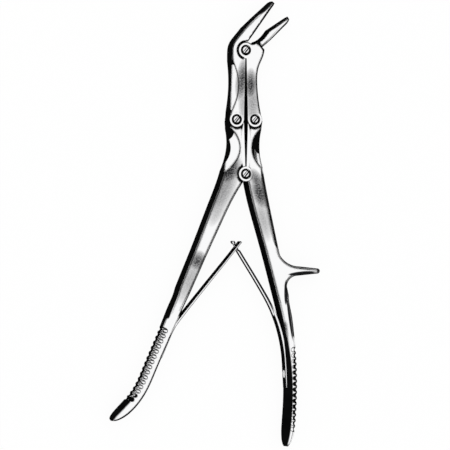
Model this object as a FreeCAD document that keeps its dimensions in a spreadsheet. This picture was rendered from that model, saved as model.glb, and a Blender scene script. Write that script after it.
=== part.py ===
"""Double-action bone rongeur with side-angled jaws, as a parametric assembly.

The instrument lies flat on its side: +Z up, +Y towards the jaws, +X to the side
with the finger spur. The origin is the axis of the main pivot on the plane that
the instrument rests on. All sizes are in millimetres and degrees.
"""
import FreeCAD, Part
import math
import os
import Sketcher

V = FreeCAD.Vector

# Driving dimensions: alias, value, what it is
SIZES = (
    ("plate_thickness", 8.6, "thickness of jaws and handles at the joints"),
    ("plate_edge", 0.5, "rounding of the long edges of the joint plates"),
    ("link_rise", 29.1, "main pivot to the two link screws, along Y"),
    ("link_spread", 10.26, "distance between the two link screws"),
    ("front_rise", 66.2, "main pivot to front pivot, along Y"),
    ("squeeze", 24.9, "angle that the handles close by"),
    ("front_lap_radius", 4.4, "radius of the half-lap discs at the front pivot"),
    ("main_lap_radius", 3.9, "radius of the half-lap discs at the main pivot"),
    ("lap_clearance", 0.35, "gap round a half-lap disc"),
    ("lap_gap", 0.1, "gap between the two faces of a half lap"),
    ("centre_gap", 0.8, "gap between left and right plates beside a pivot"),
    ("lobe_radius", 4.0, "radius of the fork lobes at the link screws"),
    ("horn_drop", 2.2, "inner end of a handle's shoulder below its link screw"),
    ("horn_rise", 1.4, "how much higher the shoulder ends at the outer side"),
    ("horn_overhang", 0.45, "how far the shoulder stands outside the fork lobe"),
    ("arm_top_half", 8.7, "half width of a handle arm below its shoulder"),
    ("arm_waist_half", 8.6, "half width of a handle arm at its waist"),
    ("arm_root_half", 9.0, "half width of a handle arm above the boss"),
    ("boss_half", 10.2, "half width of a handle beside the main pivot"),
    ("left_arm_bulge", 2.6, "how much wider the left handle is beside the main pivot"),
    ("arm_step", 7.0, "spacing of the outline points up a handle arm"),
    ("boss_rise", 4.0, "main pivot to the foot of the centre gap, along Y"),
    ("shank_from", 18.0, "main pivot to the straight shank, along a handle"),
    ("shoulder_gap", 0.3, "gap between a fork lobe and the handle's shoulder"),
    ("tongue_thickness", 2.6, "thickness of the handle tongue in the fork"),
    ("tongue_inset", 0.1, "how much smaller the tongue is than the lobe"),
    ("tongue_play", 0.1, "gap between a tongue and each fork cheek"),
    ("fork_relief", 0.3, "room round the tongue inside the fork"),
    ("screw_shank", 3.4, "diameter of a pivot screw's shank"),
    ("screw_head", 5.2, "diameter of a pivot screw's head"),
    ("head_sink", 1.2, "depth of the counterbore for a screw head"),
    ("head_dome", 0.3, "height of a screw head above its plate"),
    ("slot_width", 0.8, "width of a driver slot"),
    ("slot_depth", 0.7, "depth of a driver slot"),
    ("slot_angle", 50.0, "direction of the driver slots in the drawing"),
    ("shank_fit", 0.04, "radial gap between a screw shank and its bore"),
    ("thread_fit", 0.01, "radial gap between a screw and its own threaded plate"),
    ("open_pivot_fit", 0.12, "radial gap of the front screw in the right jaw"),
    ("head_fit", 0.3, "radial gap round a screw head"),
    ("bite_angle", 52.5, "direction of the left bite face from +X"),
    ("bite_offset", 1.8, "distance of the bite faces from the front pivot axis"),
    ("bite_gap", 0.1, "gap left between the bite faces when the jaws are closed"),
    ("jaw_reach", 30.8, "front pivot to the tips of the jaws"),
    ("blade_root", 9.0, "front pivot to the root of the blades"),
    ("tip_width", 4.5, "width of the bite at the tip"),
    ("root_depth", 5.9, "depth of a blade behind its bite face at the root"),
    ("tip_depth", 2.5, "depth of a blade behind its bite face at the tip"),
    ("step_thickness", 7.0, "thickness of the right blade at its shoulder"),
    ("cup_width", 3.2, "width of the cup in a bite face"),
    ("cup_depth", 1.5, "depth of the cup in a bite face"),
    ("cup_length", 12.0, "length of the cup in a bite face"),
    ("cup_rim", 0.65, "wall in front of the cup"),
    ("lever_wall", 8.0, "half width of the jaw levers at the front pivot"),
    ("lever_waist", 6.5, "half width of the right jaw lever at its waist"),
    ("lever_flare", 1.1, "how much the right lever widens towards its fork"),
    ("lever_brow", 2.9, "how much the right lever widens below its shoulder"),
    ("lever_swell", 0.5, "how much the left lever swells towards its fork"),
    ("lever_step", 8.5, "spacing of the outline points up a jaw lever"),
    ("knuckle_rise", 2.6, "where the left lever turns into its blade, over the pivot"),
    ("knuckle_round", 0.6, "how far the left lever rounds off at that turn"),
    ("throat_height", 0.35, "height of the right jaw's throat over the pivot axis"),
    ("throat_run", 4.3, "front pivot to the middle of the throat, along X"),
    ("throat_rise", 3.4, "front pivot to the middle of the throat, along Y"),
    ("scoop_tilt", 30.0, "tilt of the scooped flanks"),
    ("arm_scoop_radius", 22.0, "radius of the scoops in the handle arms"),
    ("jaw_scoop_radius", 50.0, "radius of the scoop in the left jaw lever"),
    ("scoop_floor", 3.2, "half width that the arm scoops leave on the faces"),
    ("jaw_scoop_floor", 4.1, "half width that the jaw scoop leaves on the faces"),
    ("left_shank_angle", 23.9, "splay of the left handle when open"),
    ("left_shank_offset", 6.7, "left handle's centre line beside the main pivot"),
    ("right_shank_angle", 14.3, "splay of the right handle when open"),
    ("right_shank_offset", 4.35, "right handle's centre line beside the main pivot"),
    ("handle_length", 149.0, "main pivot to the end of a handle, along it"),
    ("grip_start", 68.0, "main pivot to the rounded grip, along a handle"),
    ("left_bend_start", 120.0, "where the left handle starts to curl outwards"),
    ("left_bend_radius", 45.0, "radius of the left handle's outward curl"),
    ("right_bend_start", 62.0, "where the right handle starts to curve in"),
    ("right_bend_radius", 216.0, "radius of the right handle's inward curve"),
    ("shank_root_width", 9.8, "width of a shank behind the main pivot"),
    ("shank_mid_width", 7.9, "width of a shank half way to the grip"),
    ("grip_root_width", 7.0, "width where the rounded grip starts"),
    ("waist_width", 6.3, "width of a handle at its waist"),
    ("grip_width", 7.0, "width of the grips"),
    ("grip_thickness", 7.6, "thickness of the grips at their ends"),
    ("shank_edge", 1.0, "rounding of the long edges of the shanks"),
    ("grip_edge", 3.2, "rounding of the long edges of the grips"),
    ("grip_end", 12.0, "length of the rounded end of a grip"),
    ("groove_count", 15.0, "number of finger grooves on a grip"),
    ("groove_pitch", 3.0, "distance between two finger grooves"),
    ("groove_radius", 1.15, "radius of a finger groove"),
    ("groove_depth", 0.45, "depth of a finger groove in the flank"),
    ("corner_groove_depth", 2.4, "depth of a finger groove under the grip's sharp corner"),
    ("corner_groove_lean", 45.0, "lean of the grooves over a grip's corners"),
    ("left_groove_start", 92.0, "first finger groove of the left handle"),
    ("right_groove_start", 97.0, "first finger groove of the right handle"),
    ("spur_level", 52.0, "main pivot to the middle of the finger spur, along Y"),
    ("spur_reach", 42.0, "main pivot to the tip of the finger spur, along X"),
    ("spur_root_width", 5.0, "width of the finger spur at its root"),
    ("spur_tip_width", 2.8, "width of the finger spur at its tip"),
    ("spur_upper_hollow", 13.0, "radius of the hollow above the spur"),
    ("spur_lower_hollow", 6.0, "radius of the hollow below the spur"),
    ("spur_hollow_depth", 0.5, "how far both hollows run into the shank"),
    ("spur_anchor", 2.5, "how far the spur's root reaches into the shank"),
    ("leaf_width", 5.5, "width of the leaf springs"),
    ("leaf_thickness", 1.3, "thickness of the leaf springs at their feet"),
    ("leaf_tip_thickness", 0.9, "thickness of the leaf springs at their ends"),
    ("seat_gap", 0.05, "gap between a spring foot and its seat"),
    ("foot_length", 13.0, "length of a spring foot"),
    ("left_seat_ahead", 12.0, "length of the left seat beyond the foot"),
    ("right_seat_ahead", 22.0, "length of the right seat beyond the foot"),
    ("seat_room", 6.0, "room that a seat leaves beside its handle"),
    ("left_foot_start", 93.0, "where the left spring leaves its handle"),
    ("right_foot_start", 104.0, "where the right spring leaves its handle"),
    ("left_leaf_length", 64.0, "length of the left leaf beyond its foot"),
    ("right_leaf_length", 73.0, "length of the right leaf beyond its foot"),
    ("left_leaf_turn", 16.0, "turn of the left leaf away from its handle"),
    ("left_turn_radius", 35.0, "radius of the left leaf's turn"),
    ("right_leaf_turn", 29.0, "turn of the right leaf away from its handle"),
    ("right_turn_radius", 80.0, "radius of the right leaf's turn"),
    ("tongue_width", 2.4, "width of the right leaf's neck in the slot"),
    ("slot_play", 0.3, "gap between that neck and the slot, each side"),
    ("slot_length", 7.0, "length of the slot in the left leaf"),
    ("spring_screw_shank", 2.4, "diameter of a spring screw's shank"),
    ("spring_screw_head", 4.2, "diameter of a spring screw's head"),
    ("spring_screw_length", 5.0, "length of a spring screw"),
    ("spring_screw_place", 5.5, "spring screw from the start of the foot"),
)


def make_sheet(doc):
    """Write the driving dimensions into the document's spreadsheet."""
    sheet = doc.addObject("Spreadsheet::Sheet", "dims")
    for row, (alias, value, note) in enumerate(SIZES, start=1):
        sheet.set("A%d" % row, str(value))
        sheet.setAlias("A%d" % row, alias)
        sheet.set("B%d" % row, note)
    doc.recompute()
    return sheet


document = FreeCAD.newDocument("bone_rongeur")
dims = make_sheet(document)


def size(alias):
    """Read one driving dimension from the sheet."""
    return float(dims.get(alias))


# Values that several pieces share, worked out from the sheet
MIDDLE = size("plate_thickness") / 2
LINK_HALF = size("link_spread") / 2
HANDLE_ARM = math.hypot(LINK_HALF, size("link_rise"))
JAW_ARM = math.hypot(LINK_HALF, size("front_rise") - size("link_rise"))
OPEN_ARM_ANGLE = math.asin(LINK_HALF / HANDLE_ARM)
CLOSED_ARM_ANGLE = OPEN_ARM_ANGLE + math.radians(size("squeeze")) / 2
CLOSED_JAW_ANGLE = math.asin(HANDLE_ARM * math.sin(CLOSED_ARM_ANGLE) / JAW_ARM)
JAW_CLOSING = 2 * (CLOSED_JAW_ANGLE - math.asin(LINK_HALF / JAW_ARM))
FRONT_PIVOT = V(0, size("front_rise"), 0)
BITE = {
    "left": math.radians(size("bite_angle")),
    "right": math.radians(size("bite_angle")) - JAW_CLOSING,
}
SIGN = {"left": -1, "right": 1}
TOP = "dims.plate_thickness"
HALF_SPREAD = "dims.link_spread / 2"
LOWER_HALF = "dims.plate_thickness / 2 - dims.lap_gap / 2"


def new_body(name):
    """Start a sub-part; its label is also its file's name."""
    body = document.addObject("PartDesign::Body", name)
    body.Label = name
    return body


def origin_plane(body, role):
    """Find one of a body's own origin planes by its role."""
    for feature in body.Origin.OriginFeatures:
        if feature.Role == role:
            return feature
    raise ValueError("no origin plane " + role)


def attach(feature, body, role, at=("0", "0", "0"), turn=None):
    """Attach a feature to an origin plane, with an offset given as expressions."""
    feature.AttachmentSupport = [(origin_plane(body, role), "")]
    feature.MapMode = "FlatFace"
    if turn is not None:
        axis, angle = turn
        rotation = FreeCAD.Rotation(axis, angle)
        feature.AttachmentOffset = FreeCAD.Placement(V(0, 0, 0), rotation)
    for name, text in zip("xyz", at):
        feature.setExpression("AttachmentOffset.Base." + name, text)


def new_sketch(body, name, role="XY_Plane", at=("0", "0", "0"), turn=None):
    """Start a sketch on one of the body's origin planes."""
    sketch = body.newObject("Sketcher::SketchObject", name)
    attach(sketch, body, role, at, turn)
    return sketch


def draw_loop(sketch, pieces):
    """Draw a closed loop: a two-point piece is a line, a longer one a spline."""
    for piece in pieces:
        if len(piece) == 2:
            sketch.addGeometry(Part.LineSegment(piece[0], piece[1]), False)
        else:
            curve = Part.BSplineCurve()
            curve.interpolate(piece)
            sketch.addGeometry(curve, False)
    count = len(pieces)
    for index in range(count):
        following = (index + 1) % count
        joint = Sketcher.Constraint("Coincident", index, 2, following, 1)
        sketch.addConstraint(joint)


def pad(body, name, sketch, length, symmetric=False):
    """Pad a sketch by an expression, upwards or to both sides."""
    feature = body.newObject("PartDesign::Pad", name)
    feature.Profile = sketch
    feature.Midplane = symmetric
    feature.setExpression("Length", length)
    return feature


def pocket_through(body, name, sketch):
    """Cut a sketch through the whole body, to both sides."""
    feature = body.newObject("PartDesign::Pocket", name)
    feature.Profile = sketch
    feature.Type = "ThroughAll"
    feature.Midplane = True
    return feature


def cylinder(body, name, adds, radius, height, at, role="XY_Plane", turn=None):
    """Add or cut a cylinder whose sizes and place are expressions."""
    kind = "Additive" if adds else "Subtractive"
    feature = body.newObject("PartDesign::%sCylinder" % kind, name)
    feature.setExpression("Radius", radius)
    feature.setExpression("Height", height)
    attach(feature, body, role, at, turn)
    return feature


def box(body, name, adds, length, width, height, at, turn=None):
    """Add or cut a box whose sizes and place are expressions."""
    kind = "Additive" if adds else "Subtractive"
    feature = body.newObject("PartDesign::%sBox" % kind, name)
    feature.setExpression("Length", length)
    feature.setExpression("Width", width)
    feature.setExpression("Height", height)
    attach(feature, body, "XY_Plane", at, turn)
    return feature


def round_long_edges(body, name, feature, radius, wanted):
    """Round the edges of the two flat faces whose middle point is wanted."""
    document.recompute()
    names = []
    for number, edge in enumerate(feature.Shape.Edges, start=1):
        box_of_edge = edge.BoundBox
        if box_of_edge.ZLength > 0.01:
            continue
        middle = edge.valueAt((edge.FirstParameter + edge.LastParameter) / 2)
        if wanted(middle):
            names.append("Edge%d" % number)
    fillet = body.newObject("PartDesign::Fillet", name)
    fillet.Base = (feature, names)
    fillet.setExpression("Radius", radius)
    document.recompute()
    return fillet


def near_line(point, first, second, reach=0.05):
    """Tell whether a point lies on the line through two others, in plan."""
    along = second - first
    along.z = 0
    away = point - first
    away.z = 0
    return away.cross(along).Length < reach * along.Length


# Shape of the handles along their centre lines
def handle_centre(side, along):
    """Give a handle's centre and heading, in degrees from -Y, at a distance."""
    start = size(side + "_bend_start")
    angle = math.radians(size(side + "_shank_angle"))
    straight = min(along, start)
    sideways = size(side + "_shank_offset") + straight * math.sin(angle)
    back = straight * math.cos(angle)
    if along > start:
        radius = size(side + "_bend_radius")
        curl = 1 if side == "left" else -1
        heading = angle + curl * (along - start) / radius
        sideways += curl * radius * (math.cos(angle) - math.cos(heading))
        back += curl * radius * (math.sin(heading) - math.sin(angle))
        angle = heading
    return V(SIGN[side] * sideways, -back, 0), SIGN[side] * math.degrees(angle)


def handle_width(along):
    """Give the width of a handle at a distance from the main pivot."""
    stations = (
        (14.0, size("shank_root_width")),
        (42.0, size("shank_mid_width")),
        (size("grip_start"), size("grip_root_width")),
        (size("grip_start") + 14.0, size("waist_width")),
        (size("grip_start") + 36.0, size("grip_width")),
        (size("handle_length"), size("grip_width")),
    )
    if along <= stations[0][0]:
        return stations[0][1]
    for (begin, narrow), (end, wide) in zip(stations, stations[1:]):
        if along <= end:
            share = (along - begin) / (end - begin)
            return narrow + (wide - narrow) * share
    return stations[-1][1]


def handle_edge(side, along, outer):
    """Give a point on the outer or inner edge of a handle, in plan."""
    centre, heading = handle_centre(side, along)
    turn = math.radians(heading)
    outwards = V(math.cos(turn), math.sin(turn), 0) * SIGN[side]
    if not outer:
        outwards = outwards * -1
    return centre + outwards * (handle_width(along) / 2)


def rounded_section(body, name, side, along, width, thickness, corner):
    """Draw a rounded rectangle across a handle's centre line."""
    centre, heading = handle_centre(side, along)
    sketch = body.newObject("Sketcher::SketchObject", name)
    sketch.AttachmentSupport = [(origin_plane(body, "XZ_Plane"), "")]
    sketch.MapMode = "FlatFace"
    place = V(centre.x, MIDDLE, -centre.y)
    sketch.AttachmentOffset = FreeCAD.Placement(place, FreeCAD.Rotation(V(0, 1, 0), heading))
    half_x = width / 2
    half_y = thickness / 2
    corner = min(corner, 0.94 * half_x, 0.94 * half_y)
    centres = ((half_x, half_y), (-half_x, half_y), (-half_x, -half_y), (half_x, -half_y))
    corners = []
    for index, (x, y) in enumerate(centres):
        middle = V(x - math.copysign(corner, x), y - math.copysign(corner, y), 0)
        first = math.radians(90 * index)
        circle = Part.Circle(middle, V(0, 0, 1), corner)
        corners.append(Part.ArcOfCircle(circle, first, first + math.pi / 2))
    for index, arc in enumerate(corners):
        following = corners[(index + 1) % 4]
        sketch.addGeometry(arc, False)
        sketch.addGeometry(Part.LineSegment(arc.EndPoint, following.StartPoint), False)
    for index in range(8):
        joint = Sketcher.Constraint("Coincident", index, 2, (index + 1) % 8, 1)
        sketch.addConstraint(joint)
    return sketch


def loft(body, name, sketches, straight=False):
    """Join sections by a smooth skin, or by straight lines."""
    feature = body.newObject("PartDesign::AdditiveLoft", name)
    feature.Profile = sketches[0]
    feature.Sections = sketches[1:]
    feature.Ruled = straight
    return feature


def merge_last(body):
    """Merge split faces once, after the last feature of a sub-part."""
    features = [thing for thing in body.Group if hasattr(thing, "Refine")]
    for thing in features:
        thing.Refine = thing is features[-1]


def add_grip(body, side):
    """Add the rounded grip behind the shank."""
    length = size("handle_length")
    start = size("grip_start")
    tip = size("grip_end")
    full = length - tip
    spans = (0.0, 0.14, 0.3, 0.48, 0.66, 0.84, 1.0)
    stations = [start + (full - start) * share for share in spans]
    stations += [full + tip * share for share in (0.35, 0.65, 0.85, 0.97)]
    sketches = []
    for number, along in enumerate(stations):
        past = max(0.0, (along - full) / tip)
        shrink = math.sqrt(1 - past * past)
        ramp = min(1.0, (along - start) / 36.0)
        thick = grip_height(along)
        corner = size("shank_edge") + (size("grip_edge") - size("shank_edge")) * ramp
        width = handle_width(along) * shrink
        height = thick * (0.35 + 0.65 * shrink)
        sketches.append(rounded_section(body, "%s_section_%d" % (body.Name, number), side,
                                        along, width, height, corner))
    grip = loft(body, body.Name + "_grip", sketches)
    return grip


def grip_height(along):
    """Give the height of a grip, which tapers evenly to its end."""
    start = size("grip_start")
    share = (along - start) / (size("handle_length") - start)
    return size("plate_thickness") - share * (size("plate_thickness") - size("grip_thickness"))


def cut_grooves(body, side):
    """Cut shallow grooves in a grip's outer flank, and deeper ones over both its corners."""
    first = size(side + "_groove_start")
    count = int(size("groove_count"))
    pitch = size("groove_pitch")
    half_way = first + pitch * (count - 1) / 2
    up = V(0, 0, 1)
    outwards = handle_edge(side, half_way, True) - handle_centre(side, half_way)[0]
    outwards.normalize()
    ahead = up.cross(outwards)
    middle = V(0, 0, MIDDLE)
    lean = size("corner_groove_lean")
    radius = size("groove_radius")
    for label, angle, depth in (("flank", 0, size("groove_depth")),
                                ("upper", lean, size("corner_groove_depth")),
                                ("lower", -lean, size("corner_groove_depth"))):
        turn = math.radians(angle)
        crest = outwards * math.cos(turn) + up * math.sin(turn)
        name = "%s_%s_grooves" % (body.Name, label)
        sketch = body.newObject("Sketcher::SketchObject", name + "_plan")
        sketch.AttachmentSupport = [(origin_plane(body, "XY_Plane"), "")]
        sketch.MapMode = "FlatFace"
        rotation = FreeCAD.Rotation(ahead, crest, V(0, 0, 0), "XYZ")
        sketch.AttachmentOffset = FreeCAD.Placement(middle, rotation)
        for number in range(count):
            along = first + number * pitch
            corner = handle_edge(side, along, True)
            if angle:
                corner += up * math.copysign(grip_height(along) / 2, angle)
            hub = corner + crest * (radius - depth)
            place = V(hub.dot(ahead), hub.dot(crest), 0)
            sketch.addGeometry(Part.Circle(place, up, radius), False)
        pocket_through(body, name, sketch)


def make_spur():
    """Build the finger spur, whose two root hollows run out along the shank."""
    body = document.addObject("PartDesign::Body", "finger_spur")
    level = -size("spur_level")
    nose = size("spur_tip_width") / 2
    reach = size("spur_reach") - nose
    centre, heading = handle_centre("right", size("spur_level"))
    edge = handle_edge("right", size("spur_level"), True)
    normal = (edge - centre).normalize()
    inside = size("spur_hollow_depth")
    anchor = normal * size("spur_anchor")
    ends = []
    for sign, radius in ((1, size("spur_upper_hollow")), (-1, size("spur_lower_hollow"))):
        y = level + sign * (size("spur_root_width") / 2 + radius)
        x = edge.x + (radius - inside - normal.y * (y - edge.y)) / normal.x
        hub = V(x, y, 0)
        deep = hub - normal * radius
        flat = V(x, y - sign * radius, 0)
        half_way = (deep + flat) * 0.5 - hub
        ends.append((deep, hub + half_way.normalize() * radius, flat))
    (deep_up, mid_up, flat_up), (deep_low, mid_low, flat_low) = ends
    nose_up = V(reach, level + nose, 0)
    nose_low = V(reach, level - nose, 0)
    sketch = new_sketch(body, "finger_spur_plan")
    sketch.addGeometry(Part.Arc(deep_up, mid_up, flat_up), False)
    sketch.addGeometry(Part.LineSegment(flat_up, nose_up), False)
    sketch.addGeometry(Part.Arc(nose_up, V(reach + nose, level, 0), nose_low), False)
    sketch.addGeometry(Part.LineSegment(nose_low, flat_low), False)
    sketch.addGeometry(Part.Arc(flat_low, mid_low, deep_low), False)
    root = [deep_low, deep_low - anchor, deep_up - anchor, deep_up]
    for first, second in zip(root, root[1:]):
        sketch.addGeometry(Part.LineSegment(first, second), False)
    plate = pad(body, "finger_spur_plate", sketch, TOP)

    def long_edge(point):
        chord = deep_up - deep_low
        away = point - deep_low
        return chord.x * away.y - chord.y * away.x < -0.01

    round_long_edges(body, "finger_spur_edges", plate, "dims.shank_edge", long_edge)
    return body


def shank_rows(side, begin, end, outer, count):
    """Give points along one edge of a shank."""
    step = (end - begin) / (count - 1)
    return [handle_edge(side, begin + step * number, outer) for number in range(count)]


def shoulder_ends(side):
    """Give the inner and the outer end of a handle's shoulder."""
    sign = SIGN[side]
    lobe = size("lobe_radius")
    low = size("link_rise") - size("horn_drop")
    inner = V(sign * (LINK_HALF - lobe), low, 0)
    outer = V(sign * (LINK_HALF + lobe + size("horn_overhang")), low + size("horn_rise"), 0)
    return inner, outer


def handle_plan(side):
    """Give the loop of a handle's arm, boss and shank, seen from above."""
    sign = SIGN[side]
    gap = size("centre_gap") / 2
    grip = size("grip_start")
    shank = size("shank_from")
    step = size("arm_step")
    bulge = size("left_arm_bulge") if side == "left" else 0.0
    inner_top, outer_top = shoulder_ends(side)
    inner_boss = V(sign * gap, size("boss_rise"), 0)
    crotch = V(sign * (gap + 0.3), -0.9 * size("main_lap_radius"), 0)
    inner_rows = shank_rows(side, shank, grip, False, 5)
    outer_rows = shank_rows(side, grip, shank, True, 5)
    outer_arm = [
        outer_rows[-1],
        V(sign * (size("boss_half") + bulge), 0, 0),
        V(sign * (size("arm_root_half") + 0.7 * bulge), 1.1 * step, 0),
        V(sign * (size("arm_waist_half") + 0.35 * bulge), 2.1 * step, 0),
        V(sign * (size("arm_top_half") + 0.2 * bulge), 3 * step, 0),
        outer_top,
    ]
    return [
        [inner_top, inner_boss],
        [inner_boss, crotch],
        [crotch] + inner_rows,
        [inner_rows[-1], outer_rows[0]],
        outer_rows[:-1] + outer_arm,
        [outer_top, inner_top],
    ]


def scoop(body, name, side, radius, floor, level, upper):
    """Hollow the outer corner of a plate with a tilted cylinder."""
    sign = SIGN[side]
    tilt = math.radians(size("scoop_tilt"))
    face = 1 if upper else -1
    along = V(sign * math.cos(tilt), 0, -face * math.sin(tilt))
    normal = V(sign * math.sin(tilt), 0, face * math.cos(tilt))
    face_height = size("plate_thickness") if upper else 0.0
    lowest = V(sign * floor, level, face_height)
    start = lowest + normal * radius - along * 20.0
    cut = body.newObject("PartDesign::SubtractiveCylinder", name)
    cut.Radius = radius
    cut.Height = 50.0
    cut.AttachmentSupport = [(origin_plane(body, "XY_Plane"), "")]
    cut.MapMode = "FlatFace"
    cut.AttachmentOffset = FreeCAD.Placement(start, FreeCAD.Rotation(V(0, 0, 1), along))
    return cut


def lap(body, side, rise, radius):
    """Make one half of a half-lap joint: a disc, and a recess for the other."""
    upper = side == "right"
    name = body.Name + "_lap"
    recess_from = "0" if upper else LOWER_HALF
    disc_from = "dims.plate_thickness / 2 + dims.lap_gap / 2" if upper else "0"
    half = "dims.plate_thickness / 2 + dims.lap_gap / 2"
    cylinder(body, name + "_recess", False, radius + " + dims.lap_clearance",
             half, ("0", rise, recess_from))
    cylinder(body, name + "_disc", True, radius, LOWER_HALF, ("0", rise, disc_from))


def bore(body, name, at_x, at_y, fit, head):
    """Bore a plate for a pivot screw, with a counterbore where the head sits."""
    cylinder(body, name, False, "dims.screw_shank / 2 + " + fit, TOP + " + 2",
             (at_x, at_y, "-1"))
    if head:
        cylinder(body, name + "_head", False, "dims.screw_head / 2 + dims.head_fit",
                 "dims.head_sink + 1", (at_x, at_y, TOP + " - dims.head_sink"))


def leaf_line(side):
    """Give the centre line of a leaf spring: foot end first, with headings."""
    begin = size(side + "_foot_start")
    edge = handle_edge(side, begin, False)
    centre, heading = handle_centre(side, begin)
    inwards = (edge - centre).normalize()
    turn = math.radians(heading)
    forwards = V(-math.sin(turn), math.cos(turn), 0)
    foot = size("leaf_thickness") / 2
    seat = edge - inwards * foot
    back_of_foot = seat - forwards * size("foot_length")
    radius = size(side + "_turn_radius")
    total = math.radians(size(side + "_leaf_turn"))
    pivot = seat + inwards * radius
    points = [(back_of_foot, forwards), (seat, forwards)]
    steps = 6
    for number in range(1, steps + 1):
        angle = total * number / steps
        out = inwards * -math.cos(angle) + forwards * math.sin(angle)
        ahead = forwards * math.cos(angle) + inwards * math.sin(angle)
        points.append((pivot + out * radius, ahead))
    rest = size(side + "_leaf_length") - radius * total
    last, ahead = points[-1]
    points.append((last + ahead * (rest / 2), ahead))
    points.append((last + ahead * rest, ahead))
    return points, inwards


def leaf_crossing():
    """Find where the straight ends of the two leaves cross, in plan."""
    left_end, left_ahead = leaf_line("left")[0][-1]
    right_end, right_ahead = leaf_line("right")[0][-1]
    gap = right_end - left_end
    share = (gap.x * right_ahead.y - gap.y * right_ahead.x)
    share /= left_ahead.x * right_ahead.y - left_ahead.y * right_ahead.x
    return left_end + left_ahead * share


def make_handle(side):
    """Build a handle: arm with tongue, boss, shank and grip."""
    name = side + "_handle"
    spur = make_spur() if side == "right" else None
    body = new_body(name)
    sign = SIGN[side]
    mark = "" if sign > 0 else "-"
    plan = new_sketch(body, name + "_plan")
    draw_loop(plan, handle_plan(side))
    plate = pad(body, name + "_plate", plan, TOP)
    inner = handle_edge(side, size("grip_start"), False)
    outer = handle_edge(side, size("grip_start"), True)
    inner_horn, outer_horn = shoulder_ends(side)

    def long_edge(point):
        across_grip = near_line(point, inner, outer) and (point - inner).Length < 30
        centre_line = abs(point.x) < 1.6 and point.y > -5
        shoulder = near_line(point, inner_horn, outer_horn)
        return not across_grip and not centre_line and not shoulder

    round_long_edges(body, name + "_edges", plate, "dims.shank_edge", long_edge)
    scoop_level = 14.0
    for upper in (True, False):
        label = name + ("_scoop_top" if upper else "_scoop_bottom")
        scoop(body, label, side, size("arm_scoop_radius"), size("scoop_floor"),
              scoop_level, upper)
    lap(body, side, "0", "dims.main_lap_radius")
    link_x = mark + HALF_SPREAD
    shoulder = "dims.lobe_radius + dims.shoulder_gap"
    cylinder(body, name + "_shoulder", False, shoulder, TOP + " + 2",
             (link_x, "dims.link_rise", "-1"))
    tongue_radius = "dims.lobe_radius - dims.tongue_inset"
    tongue_from = TOP + " / 2 - dims.tongue_thickness / 2"
    cylinder(body, name + "_tongue", True, tongue_radius, "dims.tongue_thickness",
             (link_x, "dims.link_rise", tongue_from))
    neck_x = link_x + " - dims.lobe_radius + dims.tongue_inset"
    box(body, name + "_neck", True, "2 * (%s)" % tongue_radius, "dims.lobe_radius * 1.6",
        "dims.tongue_thickness", (neck_x, "dims.link_rise - dims.lobe_radius * 1.6", tongue_from))
    bore(body, name + "_link_bore", link_x, "dims.link_rise", "dims.shank_fit", False)
    main_fit = "dims.shank_fit" if side == "right" else "dims.thread_fit"
    bore(body, name + "_main_bore", "0", "0", main_fit, side == "right")
    add_grip(body, side)
    if spur is not None:
        union = body.newObject("PartDesign::Boolean", name + "_with_spur")
        union.Type = "Fuse"
        union.setObjects([spur])
    cut_spring_seat(body, side)
    cut_grooves(body, side)
    merge_last(body)
    return body


def spring_frame(side):
    """Give the foot's seat point, its forward and its inward direction."""
    points, inwards = leaf_line(side)
    seat, forwards = points[1]
    return seat, forwards, inwards


def cut_spring_seat(body, side):
    """Cut the flush seat for a spring foot and the hole for its screw."""
    seat, forwards, inwards = spring_frame(side)
    play = size("seat_gap")
    thickness = size("leaf_thickness")
    width = size("leaf_width") + 2 * play
    corner = seat - inwards * (thickness / 2 + play)
    corner = corner - forwards * (size("foot_length") + play)
    corner.z = MIDDLE + width / 2
    turn = FreeCAD.Rotation(forwards, V(0, 0, 0), inwards, "ZXY")
    cut = body.newObject("PartDesign::SubtractiveBox", body.Name + "_seat")
    cut.Length = size("foot_length") + size(side + "_seat_ahead")
    cut.Width = width
    cut.Height = size("seat_room")
    cut.AttachmentSupport = [(origin_plane(body, "XY_Plane"), "")]
    cut.MapMode = "FlatFace"
    if (turn.multVec(V(0, 1, 0)) - V(0, 0, 1)).Length < 0.1:
        corner.z = MIDDLE - width / 2
    cut.AttachmentOffset = FreeCAD.Placement(corner, turn)
    hole = body.newObject("PartDesign::SubtractiveCylinder", body.Name + "_spring_hole")
    hole.setExpression("Radius", "dims.spring_screw_shank / 2 + dims.thread_fit")
    hole.setExpression("Height", "dims.spring_screw_length + 0.2")
    hole.AttachmentSupport = [(origin_plane(body, "XY_Plane"), "")]
    hole.MapMode = "FlatFace"
    start = spring_screw_start(side)
    outwards = inwards * -1
    hole.AttachmentOffset = FreeCAD.Placement(start, FreeCAD.Rotation(V(0, 0, 1), outwards))


def spring_screw_start(side):
    """Give the middle of a spring screw's head, on the foot's open face."""
    seat, forwards, inwards = spring_frame(side)
    start = seat + inwards * (size("leaf_thickness") / 2)
    start = start - forwards * size("spring_screw_place")
    start.z = MIDDLE
    return start


# Jaws, laid out along and across their bite faces
def bite_point(side, along, across):
    """Give a point from its distances along and across a bite face."""
    angle = BITE[side]
    u = V(math.cos(angle), math.sin(angle), 0)
    v = V(-math.sin(angle), math.cos(angle), 0)
    return FRONT_PIVOT + u * along + v * across


def bite_face(side):
    """Give the height of a bite face over the front pivot axis."""
    half_gap = size("bite_gap") / 2
    return size("bite_offset") - SIGN[side] * half_gap


def blade_depth(along):
    """Give the depth of a blade behind its bite face."""
    share = (along - size("blade_root")) / (size("jaw_reach") - size("blade_root"))
    fall = size("root_depth") - size("tip_depth")
    return size("root_depth") - fall * max(0.0, share) ** 1.15


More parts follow.
